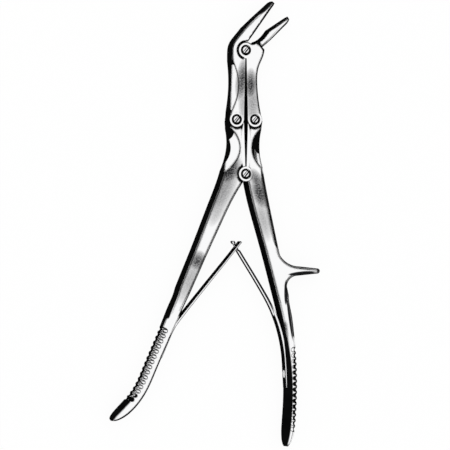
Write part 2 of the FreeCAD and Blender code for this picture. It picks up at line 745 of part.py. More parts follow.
def blade_section(body, name, side, along, width, depth, corner):
    """Draw a blade's section: flat at the bite face, rounded at the back."""
    face = bite_face(side)
    away = -SIGN[side]
    half = width / 2
    corner = min(corner, 0.94 * half, 0.94 * depth)
    back = away * depth
    soft = away * (depth - corner)
    loop = [
        V(0, -half, 0),
        V(soft, -half, 0),
        V(back, -half + corner, 0),
        V(back, half - corner, 0),
        V(soft, half, 0),
        V(0, half, 0),
    ]
    sketch = body.newObject("Sketcher::SketchObject", name)
    sketch.AttachmentSupport = [(origin_plane(body, "XY_Plane"), "")]
    sketch.MapMode = "FlatFace"
    place = bite_point(side, along, face)
    place.z = MIDDLE
    angle = BITE[side]
    across = V(-math.sin(angle), math.cos(angle), 0)
    turn = FreeCAD.Rotation(across, V(0, 0, 1), V(0, 0, 0), "XYZ")
    sketch.AttachmentOffset = FreeCAD.Placement(place, turn)
    diagonal = math.sqrt(0.5)
    for index in range(6):
        first = loop[index]
        second = loop[(index + 1) % 6]
        if index in (1, 3):
            low = -1 if index == 1 else 1
            hub = V(soft, low * (half - corner), 0)
            bulge = hub + V(away * corner * diagonal, low * corner * diagonal, 0)
            sketch.addGeometry(Part.Arc(first, bulge, second), False)
        else:
            sketch.addGeometry(Part.LineSegment(first, second), False)
    for index in range(6):
        joint = Sketcher.Constraint("Coincident", index, 2, (index + 1) % 6, 1)
        if index in (0, 2, 4, 5) and (index + 1) % 6 not in (1, 3):
            sketch.addConstraint(joint)
    return sketch


def blade(body, side, root_thickness, start):
    """Add a blade that narrows to its rounded tip."""
    reach = size("jaw_reach")
    tip = size("tip_width")
    shares = (0.0, 0.35, 0.7, 0.9, 0.96, 1.0)
    sketches = []
    for number, share in enumerate(shares):
        along = start + (reach - start) * share
        width = root_thickness + (tip - root_thickness) * min(1.0, share / 0.9)
        depth = blade_depth(along)
        if share > 0.9:
            depth *= 0.86 if share < 1.0 else 0.55
        corner = size("plate_edge") + (0.4 * tip - size("plate_edge")) * min(1.0, share / 0.7)
        label = "%s_blade_%d" % (body.Name, number)
        sketches.append(blade_section(body, label, side, along, width, depth, corner))
    return loft(body, body.Name + "_blade", sketches, straight=True)


def round_tip(body, side):
    """Cut the tip to a half round, seen on the bite face."""
    reach = size("jaw_reach")
    radius = size("tip_width") / 2
    sketch = body.newObject("Sketcher::SketchObject", body.Name + "_tip_plan")
    sketch.AttachmentSupport = [(origin_plane(body, "XY_Plane"), "")]
    sketch.MapMode = "FlatFace"
    angle = BITE[side]
    along = V(math.cos(angle), math.sin(angle), 0)
    turn = FreeCAD.Rotation(along, V(0, 0, 1), V(0, 0, 0), "XYZ")
    place = bite_point(side, reach - radius, 0)
    place.z = MIDDLE
    sketch.AttachmentOffset = FreeCAD.Placement(place, turn)
    wide = radius + 3.0
    low = V(0, -radius, 0)
    high = V(0, radius, 0)
    outline = [low, V(0, -wide, 0), V(wide, -wide, 0), V(wide, wide, 0), V(0, wide, 0), high]
    for first, second in zip(outline, outline[1:]):
        sketch.addGeometry(Part.LineSegment(first, second), False)
    sketch.addGeometry(Part.Arc(high, V(radius, 0, 0), low), False)
    pocket_through(body, body.Name + "_tip", sketch)


def cup(body, side):
    """Hollow the bite face with a round-ended cup."""
    radius = size("cup_width") / 2
    front = size("jaw_reach") - size("cup_rim") - radius
    rear = front - size("cup_length") + 2 * radius
    face = bite_face(side)
    lift = SIGN[side] * (radius - size("cup_depth"))
    first = bite_point(side, rear, face + lift)
    last = bite_point(side, front, face + lift)
    first.z = MIDDLE
    last.z = MIDDLE
    trough = body.newObject("PartDesign::SubtractiveCylinder", body.Name + "_cup")
    trough.Radius = radius
    trough.Height = (last - first).Length
    trough.AttachmentSupport = [(origin_plane(body, "XY_Plane"), "")]
    trough.MapMode = "FlatFace"
    turn = FreeCAD.Rotation(V(0, 0, 1), last - first)
    trough.AttachmentOffset = FreeCAD.Placement(first, turn)
    for label, place in (("rear", first), ("front", last)):
        end = body.newObject("PartDesign::SubtractiveSphere", "%s_cup_%s" % (body.Name, label))
        end.Radius = radius
        end.AttachmentSupport = [(origin_plane(body, "XY_Plane"), "")]
        end.MapMode = "FlatFace"
        end.AttachmentOffset = FreeCAD.Placement(place, FreeCAD.Rotation())


def left_jaw_plan():
    """Give the loop of the left jaw's lever, seen from above."""
    rise = size("front_rise")
    link = size("link_rise")
    gap = size("centre_gap") / 2
    wall = size("lever_wall")
    lobe = size("lobe_radius")
    face = bite_face("left")
    root = size("blade_root")
    ring = size("front_lap_radius") + size("lap_clearance")
    corner = math.sqrt(ring * ring - face * face)
    inner_low = V(-(LINK_HALF - lobe), link, 0)
    outer_low = V(-(LINK_HALF + lobe), link, 0)
    beside = V(-gap, rise - ring, 0)
    level = V(-gap, rise, 0)
    face_start = bite_point("left", corner, face)
    face_root = bite_point("left", root, face)
    back_root = bite_point("left", root, face + blade_depth(root))
    step = size("lever_step")
    swell = size("lever_swell")
    outer = [
        back_root,
        bite_point("left", 0.42 * root, face + blade_depth(root) + 0.2),
        V(size("knuckle_round") - wall, rise + size("knuckle_rise"), 0),
        V(-wall, rise - 0.25 * step, 0),
        V(0.3 * swell - wall, rise - 1.5 * step, 0),
        V(-wall, link + 1.9 * step, 0),
        V(-wall - swell, link + step, 0),
        outer_low,
    ]
    return [
        [inner_low, beside],
        [beside, level],
        [level, face_start],
        [face_start, face_root],
        [face_root, back_root],
        outer,
        [outer_low, inner_low],
    ]


def right_jaw_plan():
    """Give the loop of the right jaw's lever up to its shoulder."""
    rise = size("front_rise")
    link = size("link_rise")
    gap = size("centre_gap") / 2
    waist = size("lever_waist")
    lobe = size("lobe_radius")
    radius = size("front_lap_radius")
    face = bite_face("right") - 0.3
    corner = math.sqrt(radius * radius - face * face)
    inner_low = V(LINK_HALF - lobe, link, 0)
    outer_low = V(LINK_HALF + lobe, link, 0)
    beside = V(gap, rise - radius, 0)
    level = V(gap, rise, 0)
    ring_point = bite_point("right", corner, face)
    step = size("lever_step")
    brow = size("lever_brow")
    shoulder_top = bite_point("right", 0.87 * size("blade_root"), size("throat_height"))
    shoulder_back = bite_point("right", size("blade_root"), -0.95 * size("root_depth"))
    throat = [ring_point, V(size("throat_run"), rise + size("throat_rise"), 0), shoulder_top]
    outer = [
        shoulder_back,
        V(waist + brow, rise - 0.5 * step, 0),
        V(waist + 0.3 * brow, rise - 1.05 * step, 0),
        V(waist, rise - 1.7 * step, 0),
        V(waist + 0.1 * size("lever_flare"), link + 2 * step, 0),
        V(waist + size("lever_flare"), link + 0.95 * step, 0),
        outer_low,
    ]
    return [
        [inner_low, beside],
        [beside, level],
        [level, ring_point],
        throat,
        [shoulder_top, shoulder_back],
        outer,
        [outer_low, inner_low],
    ]


def cut_throat(body):
    """Cut the hollow throat between the front pivot and the right bite face."""
    bite = bite_face("right")
    begin = 0.55 * size("jaw_reach")
    height = size("throat_height")
    points = [
        bite_point("right", begin, bite),
        bite_point("right", 0.46 * size("jaw_reach"), 2.1 * height),
        bite_point("right", 0.37 * size("jaw_reach"), 0.3 * height),
        bite_point("right", 0.87 * size("blade_root"), height),
    ]
    behind = bite_point("right", 0.66 * size("blade_root"), 1.1 * height)
    above = bite_point("right", 0.66 * size("blade_root"), bite + 3.0)
    ahead = bite_point("right", begin, bite + 3.0)
    corners = [points[-1], behind, above, ahead, points[0]]
    sketch = new_sketch(body, body.Name + "_throat_plan")
    draw_loop(sketch, [points] + [list(pair) for pair in zip(corners, corners[1:])])
    pocket_through(body, body.Name + "_throat", sketch)


def make_jaw(side):
    """Build a jaw: lever with fork, half lap and cupped blade."""
    name = side + "_jaw"
    body = new_body(name)
    mark = "" if side == "right" else "-"
    plan = new_sketch(body, name + "_plan")
    draw_loop(plan, left_jaw_plan() if side == "left" else right_jaw_plan())
    plate = pad(body, name + "_plate", plan, TOP)
    wall = size("lever_waist") - 1.5

    def long_edge(point):
        if side == "left":
            return point.x < -wall and point.y > size("link_rise") + 0.1
        return point.x > wall and size("link_rise") + 0.1 < point.y < size("front_rise") - 3

    round_long_edges(body, name + "_edges", plate, "dims.plate_edge", long_edge)
    if side == "left":
        blade(body, side, size("plate_thickness"), size("blade_root"))
    else:
        blade(body, side, size("step_thickness"), 0.75 * size("blade_root"))
        cut_throat(body)
    round_tip(body, side)
    cup(body, side)
    link_x = mark + HALF_SPREAD
    cylinder(body, name + "_lobe", True, "dims.lobe_radius", TOP, (link_x, "dims.link_rise", "0"))
    lap(body, side, "dims.front_rise", "dims.front_lap_radius")
    if side == "left":
        middle_of_lever = (size("link_rise") + size("front_rise")) / 2
        for upper in (True, False):
            label = name + ("_scoop_top" if upper else "_scoop_bottom")
            scoop(body, label, side, size("jaw_scoop_radius"), size("jaw_scoop_floor"),
                  middle_of_lever, upper)
    slot_from = TOP + " / 2 - dims.tongue_thickness / 2 - dims.tongue_play"
    cylinder(body, name + "_fork", False, "dims.lobe_radius + dims.fork_relief",
             "dims.tongue_thickness + 2 * dims.tongue_play",
             (link_x, "dims.link_rise", slot_from))
    bore(body, name + "_link_bore", link_x, "dims.link_rise", "dims.thread_fit", True)
    front_fit = "dims.open_pivot_fit" if side == "right" else "dims.thread_fit"
    bore(body, name + "_front_bore", "0", "dims.front_rise", front_fit, side == "right")
    merge_last(body)
    return body


def make_pivot_screw(name, at_x, at_y):
    """Build a slotted pivot screw whose domed head sits in its counterbore."""
    body = new_body(name)
    cylinder(body, name + "_shank", True, "dims.screw_shank / 2",
             TOP + " - dims.head_sink + 0.1", (at_x, at_y, "0"))
    cylinder(body, name + "_head", True, "dims.screw_head / 2", "dims.head_sink - 0.05",
             (at_x, at_y, TOP + " - dims.head_sink + 0.05"))
    crown = body.newObject("PartDesign::AdditiveCone", name + "_crown")
    crown.setExpression("Radius1", "dims.screw_head / 2")
    crown.setExpression("Radius2", "dims.screw_head / 2 - 2 * dims.head_dome")
    crown.setExpression("Height", "dims.head_dome")
    attach(crown, body, "XY_Plane", (at_x, at_y, TOP))
    slot = body.newObject("PartDesign::SubtractiveBox", name + "_slot")
    slot.setExpression("Length", "dims.screw_head + 2")
    slot.setExpression("Width", "dims.slot_width")
    slot.setExpression("Height", "dims.slot_depth + 1")
    slot.AttachmentSupport = [(origin_plane(body, "XY_Plane"), "")]
    slot.MapMode = "FlatFace"
    angle = size("slot_angle")
    slot.AttachmentOffset = FreeCAD.Placement(V(0, 0, 0), FreeCAD.Rotation(V(0, 0, 1), angle))
    reach = "(dims.screw_head / 2 + 1)"
    half = "dims.slot_width / 2"
    turn = "dims.slot_angle * 1 deg"
    slot.setExpression("AttachmentOffset.Base.x",
                       "%s - %s * cos(%s) + %s * sin(%s)" % (at_x, reach, turn, half, turn))
    slot.setExpression("AttachmentOffset.Base.y",
                       "%s - %s * sin(%s) - %s * cos(%s)" % (at_y, reach, turn, half, turn))
    slot.setExpression("AttachmentOffset.Base.z",
                       TOP + " + dims.head_dome - dims.slot_depth")
    return body


def make_spring_screw(side):
    """Build the countersunk screw that holds a spring foot."""
    name = side + "_spring_screw"
    body = new_body(name)
    seat, forwards, inwards = spring_frame(side)
    start = spring_screw_start(side)
    place = FreeCAD.Placement(start, FreeCAD.Rotation(V(0, 0, 1), inwards * -1))
    head = body.newObject("PartDesign::AdditiveCone", name + "_head")
    head.setExpression("Radius1", "dims.spring_screw_head / 2")
    head.setExpression("Radius2", "dims.spring_screw_shank / 2")
    head.setExpression("Height", "dims.spring_screw_head / 2 - dims.spring_screw_shank / 2")
    shank = body.newObject("PartDesign::AdditiveCylinder", name + "_shank")
    shank.setExpression("Radius", "dims.spring_screw_shank / 2")
    shank.setExpression("Height", "dims.spring_screw_length")
    for feature in (head, shank):
        feature.AttachmentSupport = [(origin_plane(body, "XY_Plane"), "")]
        feature.MapMode = "FlatFace"
        feature.AttachmentOffset = place
    slot = body.newObject("PartDesign::SubtractiveBox", name + "_slot")
    slot.Length = size("spring_screw_head") + 2
    slot.setExpression("Width", "dims.slot_width * 0.75")
    slot.setExpression("Height", "dims.slot_depth * 0.8")
    slot.AttachmentSupport = [(origin_plane(body, "XY_Plane"), "")]
    slot.MapMode = "FlatFace"
    turn = FreeCAD.Rotation(forwards, V(0, 0, 1), inwards * -1, "ZXY")
    corner = start - turn.multVec(V(slot.Length.Value / 2, 0.375 * size("slot_width"), 0))
    slot.AttachmentOffset = FreeCAD.Placement(corner, turn)
    return body


def make_leaf(side):
    """Build a leaf spring: foot, turn and straight blade, with its end fitting."""
    name = side + "_leaf_spring"
    body = new_body(name)
    points, inwards = leaf_line(side)
    total = sum((b[0] - a[0]).Length for a, b in zip(points[1:], points[2:]))
    walked = 0.0
    near = []
    far = []
    previous = points[1][0]
    for number, (place, ahead) in enumerate(points):
        if number > 1:
            walked += (place - previous).Length
            previous = place
        share = walked / total
        thick = size("leaf_thickness")
        thick += (size("leaf_tip_thickness") - thick) * share
        sideways = V(0, 0, 1).cross(ahead).normalize()
        near.append(place + sideways * (thick / 2))
        far.append(place - sideways * (thick / 2))
    plan = new_sketch(body, name + "_plan", at=("0", "0", TOP + " / 2"))
    draw_loop(plan, [
        [near[0], near[1]],
        near[1:],
        [near[-1], far[-1]],
        far[:0:-1],
        [far[1], far[0]],
        [far[0], near[0]],
    ])
    pad(body, name + "_leaf", plan, "dims.leaf_width", symmetric=True)
    crossing = leaf_crossing()
    end, ahead = points[-1]
    turn = FreeCAD.Rotation(ahead, V(0, 0, 0), V(0, 0, 1), "XZY")
    if side == "left":
        width = size("tongue_width") + 2 * size("slot_play")
        length = size("slot_length")
        cut_window(body, name + "_slot", crossing, turn, length, width, 0.0)
    else:
        side_cut = (size("leaf_width") - size("tongue_width")) / 2
        shift = (size("tongue_width") + side_cut) / 2
        for label, place in (("upper", shift), ("lower", -shift)):
            cut_window(body, name + "_notch_" + label, crossing, turn,
                       4.4, side_cut + 0.001, place)
    hole = body.newObject("PartDesign::SubtractiveCone", name + "_hole")
    hole.setExpression("Radius1", "dims.spring_screw_head / 2 + dims.shank_fit")
    hole.setExpression("Radius2", "dims.spring_screw_shank / 2 + dims.shank_fit")
    hole.setExpression("Height", "dims.spring_screw_head / 2 - dims.spring_screw_shank / 2")
    through = body.newObject("PartDesign::SubtractiveCylinder", name + "_through")
    through.setExpression("Radius", "dims.spring_screw_shank / 2 + dims.shank_fit")
    through.Height = 3 * size("leaf_thickness")
    for feature in (hole, through):
        feature.AttachmentSupport = [(origin_plane(body, "XY_Plane"), "")]
        feature.MapMode = "FlatFace"
        start = spring_screw_start(side)
        rotation = FreeCAD.Rotation(V(0, 0, 1), inwards * -1)
        feature.AttachmentOffset = FreeCAD.Placement(start, rotation)
    return body


def cut_window(body, name, centre, turn, length, width, shift):
    """Cut a rectangular window through a leaf, beside its middle line."""
    cut = body.newObject("PartDesign::SubtractiveBox", name)
    cut.Length = length
    cut.Width = 8.0
    cut.Height = width
    cut.AttachmentSupport = [(origin_plane(body, "XY_Plane"), "")]
    cut.MapMode = "FlatFace"
    offset = turn.multVec(V(length / 2, 4.0, 0))
    corner = centre - offset
    corner.z = MIDDLE + shift - width / 2
    cut.AttachmentOffset = FreeCAD.Placement(corner, turn)
    return cut


def check(bodies):
    """Stop on any failed feature or unsound shape, and print the volumes."""
    for thing in document.Objects:
        if "Invalid" in thing.State or "Error" in thing.State:
            raise RuntimeError("failed feature: " + thing.Name)
    for body in bodies:
        shape = body.Shape
        if shape.isNull() or not shape.isValid() or len(shape.Solids) != 1:
            raise RuntimeError("unsound shape: %s" % body.Label)
        low = shape.BoundBox
        print("%-20s %8.1f mm3  x %6.1f..%6.1f  y %6.1f..%6.1f  z %4.1f..%4.1f" % (
            body.Label, shape.Volume, low.XMin, low.XMax, low.YMin, low.YMax,
            low.ZMin, low.ZMax))


def main():
    """Build every sub-part, check them and write one file for each."""
    bodies = [make_handle("right"), make_handle("left")]
    bodies += [make_jaw("right"), make_jaw("left")]
    bodies.append(make_pivot_screw("front_pivot_screw", "0", "dims.front_rise"))
    bodies.append(make_pivot_screw("left_link_screw", "-" + HALF_SPREAD, "dims.link_rise"))
    bodies.append(make_pivot_screw("right_link_screw", HALF_SPREAD, "dims.link_rise"))
    bodies.append(make_pivot_screw("main_pivot_screw", "0", "0"))
    for side in ("left", "right"):
        bodies.append(make_leaf(side))
        bodies.append(make_spring_screw(side))
    document.recompute()
    check(bodies)
    os.makedirs("parts", exist_ok=True)
    for body in bodies:
        body.Shape.exportStep("parts/%s.step" % body.Label)


main()
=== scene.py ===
"""Studio scene of a polished steel bone rongeur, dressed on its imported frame.

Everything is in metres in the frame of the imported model: the instrument lies flat,
+Z is up, +Y points to the jaws and +X to the side with the finger spur.
"""
import logging
import math
from dataclasses import dataclass
from enum import Enum

import bmesh
import bpy
from mathutils import Matrix, Vector


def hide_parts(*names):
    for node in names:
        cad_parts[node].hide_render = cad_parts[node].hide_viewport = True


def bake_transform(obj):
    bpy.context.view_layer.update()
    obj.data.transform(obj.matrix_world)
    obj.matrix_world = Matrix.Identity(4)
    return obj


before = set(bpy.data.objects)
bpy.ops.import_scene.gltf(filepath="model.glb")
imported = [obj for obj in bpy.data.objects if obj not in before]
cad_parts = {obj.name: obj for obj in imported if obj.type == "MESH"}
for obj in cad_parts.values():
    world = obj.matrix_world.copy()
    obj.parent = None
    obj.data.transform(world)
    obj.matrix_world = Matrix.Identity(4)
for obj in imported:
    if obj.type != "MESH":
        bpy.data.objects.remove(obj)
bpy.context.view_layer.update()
log = logging.getLogger("rongeur")

MM = 0.001
GRID_SLACK = 0.000002
HARD_EDGE = math.radians(40)
CRISP_EDGE = math.radians(23)
# grey of the clouds: painted dark reflections on the flats and painted shadow lines
REFLECTION_SHADE_GREY = (0.02, 0.02, 0.022)
CLOUD_FALL = 0.8
FIRMNESS = 9.0
CLEARING = 8.0
ROUGH_SPREAD = 0.3
PLATE_STEEL = (0.95, 0.95, 0.955)
SCREW_STEEL = (0.92, 0.92, 0.93)
LEAF_STEEL = (0.93, 0.93, 0.94)


class Tone(Enum):
    """The deepest and the palest grey painted on a finish's walls and edge lines: painted shade
    in the dark tone, painted light in the pale one.
    """

    # painted shade: walls, edge lines, screw rims and sunk places painted near black
    PAINTED_SHADE_TONE = (0.0005, 0.006)
    # painted light: walls and edge lines painted pale grey
    PAINTED_LIGHT_TONE = (0.75, 0.85)


@dataclass(frozen=True)
class ShadeOval:
    """A soft oval on a piece where painted shade is laid or changed, seen from above, in
    millimetres and degrees.

    Attributes:
        name: what it marks.
        centre: its centre, X and Y.
        reach: half its width and half its length.
        turn: how far its length turns from +Y towards +X.
        depth: how strong it is at its centre.
    """

    name: str
    centre: tuple[float, float]
    reach: tuple[float, float]
    turn: float
    depth: float


class EffectGroups:
    """The shader node groups that several steel finishes share."""

    def __init__(self) -> None:
        """Build each group once."""
        self.walls: bpy.types.NodeTree = self.build_walls()
        self.edges: bpy.types.NodeTree = self.build_edges()
        self.recess: bpy.types.NodeTree = self.build_recess()
        self.rim: bpy.types.NodeTree = self.build_rim()
        self.lean: bpy.types.NodeTree = self.build_lean()
        self.grain: bpy.types.NodeTree = self.build_grain()
        self.stipple: bpy.types.NodeTree = self.build_stipple()
        self.cloud: bpy.types.NodeTree = self.build_cloud()

    @staticmethod
    def new_group(name: str, inputs: list[tuple[str, str, float]],
                  outputs: list[tuple[str, str]]) -> tuple[bpy.types.NodeTree, dict]:
        """Start a node group with named sockets.

        Args:
            name: the group's name.
            inputs: socket name, socket type and default value of each input.
            outputs: socket name and socket type of each output.

        Returns:
            The group, and its input and output nodes under "in" and "out".
        """
        group = bpy.data.node_groups.new(name, "ShaderNodeTree")
        for label, kind, default in inputs:
            socket = group.interface.new_socket(label, in_out="INPUT", socket_type=kind)
            if kind == "NodeSocketFloat":
                socket.default_value = default
        for label, kind in outputs:
            group.interface.new_socket(label, in_out="OUTPUT", socket_type=kind)
        ends = {
            "in": group.nodes.new("NodeGroupInput"),
            "out": group.nodes.new("NodeGroupOutput"),
        }
        return group, ends

    @staticmethod
    def math_node(tree: bpy.types.NodeTree, operation: str, first: object,
                  second: object = None, clamp: bool = False) -> bpy.types.NodeSocket:
        """Add a Math node fed by sockets or by plain numbers.

        Args:
            tree: the node tree to add to.
            operation: the Math node's operation.
            first: a socket or a number.
            second: a socket or a number, or nothing.
            clamp: whether the result stays between 0 and 1.

        Returns:
            The node's output socket.
        """
        node = tree.nodes.new("ShaderNodeMath")
        node.operation = operation
        node.use_clamp = clamp
        for index, value in enumerate((first, second)):
            if value is None:
                continue
            if isinstance(value, (int, float)):
                node.inputs[index].default_value = value
            else:
                tree.links.new(value, node.inputs[index])
        return node.outputs[0]

    def build_walls(self) -> bpy.types.NodeTree:
        """Build the mask of the upright walls: 1 on a wall, 0 on a flat."""
        group, ends = self.new_group(
            "upright_walls",
            [("Start", "NodeSocketFloat", 0.35), ("End", "NodeSocketFloat", 0.8)],
            [("Wall", "NodeSocketFloat")],
        )
        shape = group.nodes.new("ShaderNodeTexCoord")
        split = group.nodes.new("ShaderNodeSeparateXYZ")
        group.links.new(shape.outputs["Normal"], split.inputs[0])
        lean = self.math_node(group, "ABSOLUTE", split.outputs["Z"])
        span = group.nodes.new("ShaderNodeMapRange")
        span.interpolation_type = "SMOOTHSTEP"
        group.links.new(lean, span.inputs["Value"])
        group.links.new(ends["in"].outputs["Start"], span.inputs["From Min"])
        group.links.new(ends["in"].outputs["End"], span.inputs["From Max"])
        span.inputs["To Min"].default_value = 1.0
        span.inputs["To Max"].default_value = 0.0
        group.links.new(span.outputs["Result"], ends["out"].inputs["Wall"])
        return group

    def build_edges(self) -> bpy.types.NodeTree:
        """Build the mask of the dark line of painted shade along every edge: 1 on the line, 0 off
        it.
        """
        group, ends = self.new_group(
            "painted_edge_shade",
            [("Reach", "NodeSocketFloat", 0.0026), ("Start", "NodeSocketFloat", 0.009),
             ("End", "NodeSocketFloat", 0.021)],
            [("Line", "NodeSocketFloat")],
        )
        surface = group.nodes.new("ShaderNodeNewGeometry")
        rounded = group.nodes.new("ShaderNodeBevel")
        rounded.samples = 16
        group.links.new(ends["in"].outputs["Reach"], rounded.inputs["Radius"])
        likeness = group.nodes.new("ShaderNodeVectorMath")
        likeness.operation = "DOT_PRODUCT"
        group.links.new(surface.outputs["Normal"], likeness.inputs[0])
        group.links.new(rounded.outputs["Normal"], likeness.inputs[1])
        turn = self.math_node(group, "SUBTRACT", 1.0, likeness.outputs["Value"])
        span = group.nodes.new("ShaderNodeMapRange")
        group.links.new(turn, span.inputs["Value"])
        group.links.new(ends["in"].outputs["Start"], span.inputs["From Min"])
        group.links.new(ends["in"].outputs["End"], span.inputs["From Max"])
        group.links.new(span.outputs["Result"], ends["out"].inputs["Line"])
        return group

    def build_rim(self) -> bpy.types.NodeTree:
        """Build the mask of a screw head's dark rim, a painted shadow in its counterbore: 1
        outside the inner circle.
        """
        group, ends = self.new_group(
            "painted_rim_shadow",
            [("Centre X", "NodeSocketFloat", 0.0), ("Centre Y", "NodeSocketFloat", 0.0),
             ("Inner", "NodeSocketFloat", 0.0014), ("Outer", "NodeSocketFloat", 0.0018)],
            [("Rim", "NodeSocketFloat")],
        )
        shape = group.nodes.new("ShaderNodeTexCoord")
        split = group.nodes.new("ShaderNodeSeparateXYZ")
        group.links.new(shape.outputs["Object"], split.inputs[0])
        centre = ends["in"].outputs
        across = self.math_node(group, "SUBTRACT", split.outputs["X"], centre["Centre X"])
        along = self.math_node(group, "SUBTRACT", split.outputs["Y"], centre["Centre Y"])
        across = self.math_node(group, "MULTIPLY", across, across)
        along = self.math_node(group, "MULTIPLY", along, along)
        away = self.math_node(group, "SQRT", self.math_node(group, "ADD", across, along))
        span = group.nodes.new("ShaderNodeMapRange")
        group.links.new(away, span.inputs["Value"])
        group.links.new(ends["in"].outputs["Inner"], span.inputs["From Min"])
        group.links.new(ends["in"].outputs["Outer"], span.inputs["From Max"])
        group.links.new(span.outputs["Result"], ends["out"].inputs["Rim"])
        return group

    def build_recess(self) -> bpy.types.NodeTree:
        """Build the mask of what lies between two heights, for painted shade below the top faces:
        1 there, 0 above and below.
        """
        group, ends = self.new_group(
            "sunk_places",
            [("Low", "NodeSocketFloat", 0.002), ("High", "NodeSocketFloat", 0.006)],
            [("Mask", "NodeSocketFloat")],
        )
        shape = group.nodes.new("ShaderNodeTexCoord")
        split = group.nodes.new("ShaderNodeSeparateXYZ")
        group.links.new(shape.outputs["Object"], split.inputs[0])
        height = split.outputs["Z"]
        above = self.math_node(group, "GREATER_THAN", height, ends["in"].outputs["Low"])
        below = self.math_node(group, "LESS_THAN", height, ends["in"].outputs["High"])
        both = self.math_node(group, "MULTIPLY", above, below)
        group.links.new(both, ends["out"].inputs["Mask"])
        return group

    def build_lean(self) -> bpy.types.NodeTree:
        """Build the mask of the surfaces that lean to the left, for painted shade on the side
        away from the light: 1 there, 0 to the right.
        """
        group, ends = self.new_group(
            "left_lean",
            [("Start", "NodeSocketFloat", -0.3), ("End", "NodeSocketFloat", 0.0)],
            [("Mask", "NodeSocketFloat")],
        )
        shape = group.nodes.new("ShaderNodeTexCoord")
        split = group.nodes.new("ShaderNodeSeparateXYZ")
        group.links.new(shape.outputs["Normal"], split.inputs[0])
        span = group.nodes.new("ShaderNodeMapRange")
        span.interpolation_type = "SMOOTHSTEP"
        group.links.new(split.outputs["X"], span.inputs["Value"])
        group.links.new(ends["in"].outputs["Start"], span.inputs["From Min"])
        group.links.new(ends["in"].outputs["End"], span.inputs["From Max"])
        span.inputs["To Min"].default_value = 1.0
        span.inputs["To Max"].default_value = 0.0
        group.links.new(span.outputs["Result"], ends["out"].inputs["Mask"])
        return group

    def build_grain(self) -> bpy.types.NodeTree:
        """Build the faint polishing lines and small dents of hand-buffed steel."""
        group, ends = self.new_group(
            "buffed_grain",
            [("Line Density", "NodeSocketFloat", 2400.0),
             ("Line Stretch", "NodeSocketFloat", 0.04),
             ("Dent Density", "NodeSocketFloat", 160.0),
             ("Dent Share", "NodeSocketFloat", 0.4)],
            [("Height", "NodeSocketFloat"), ("Variation", "NodeSocketFloat")],
        )
        shape = group.nodes.new("ShaderNodeTexCoord")
        squeeze = group.nodes.new("ShaderNodeCombineXYZ")
        squeeze.inputs["X"].default_value = 1.0
        squeeze.inputs["Z"].default_value = 1.0
        group.links.new(ends["in"].outputs["Line Stretch"], squeeze.inputs["Y"])
        stretched = group.nodes.new("ShaderNodeVectorMath")
        stretched.operation = "MULTIPLY"
        group.links.new(shape.outputs["Object"], stretched.inputs[0])
        group.links.new(squeeze.outputs[0], stretched.inputs[1])
        lines = group.nodes.new("ShaderNodeTexNoise")
        lines.inputs["Detail"].default_value = 3.0
        group.links.new(stretched.outputs[0], lines.inputs["Vector"])
        group.links.new(ends["in"].outputs["Line Density"], lines.inputs["Scale"])
        dents = group.nodes.new("ShaderNodeTexNoise")
        dents.inputs["Detail"].default_value = 2.0
        group.links.new(shape.outputs["Object"], dents.inputs["Vector"])
        group.links.new(ends["in"].outputs["Dent Density"], dents.inputs["Scale"])
        mix = group.nodes.new("ShaderNodeMix")
        mix.data_type = "FLOAT"
        group.links.new(ends["in"].outputs["Dent Share"], mix.inputs[0])
        group.links.new(lines.outputs["Fac"], mix.inputs[2])
        group.links.new(dents.outputs["Fac"], mix.inputs[3])
        group.links.new(mix.outputs[0], ends["out"].inputs["Height"])
        group.links.new(dents.outputs["Fac"], ends["out"].inputs["Variation"])
        return group

    def build_stipple(self) -> bpy.types.NodeTree:
        """Build the soft grey tone of painted dark reflections and shadow lines, broken up by
        fine grain.
        """
        group, ends = self.new_group(
            "fine_stipple",
            [("Amount", "NodeSocketFloat", 0.0), ("Dot Density", "NodeSocketFloat", 1500.0),
             ("Dot Contrast", "NodeSocketFloat", 1.1)],
            [("Mask", "NodeSocketFloat")],
        )
        shape = group.nodes.new("ShaderNodeTexCoord")
        dots = group.nodes.new("ShaderNodeTexNoise")
        dots.inputs["Detail"].default_value = 2.0
        group.links.new(shape.outputs["Object"], dots.inputs["Vector"])
        group.links.new(ends["in"].outputs["Dot Density"], dots.inputs["Scale"])
        lift = self.math_node(group, "SUBTRACT", dots.outputs["Fac"], 0.5)
        lift = self.math_node(group, "MULTIPLY", lift, ends["in"].outputs["Dot Contrast"])
        soft = self.math_node(group, "MULTIPLY", lift, ends["in"].outputs["Amount"])
        total = self.math_node(group, "ADD", soft, ends["in"].outputs["Amount"], clamp=True)
        group.links.new(total, ends["out"].inputs["Mask"])
        return group

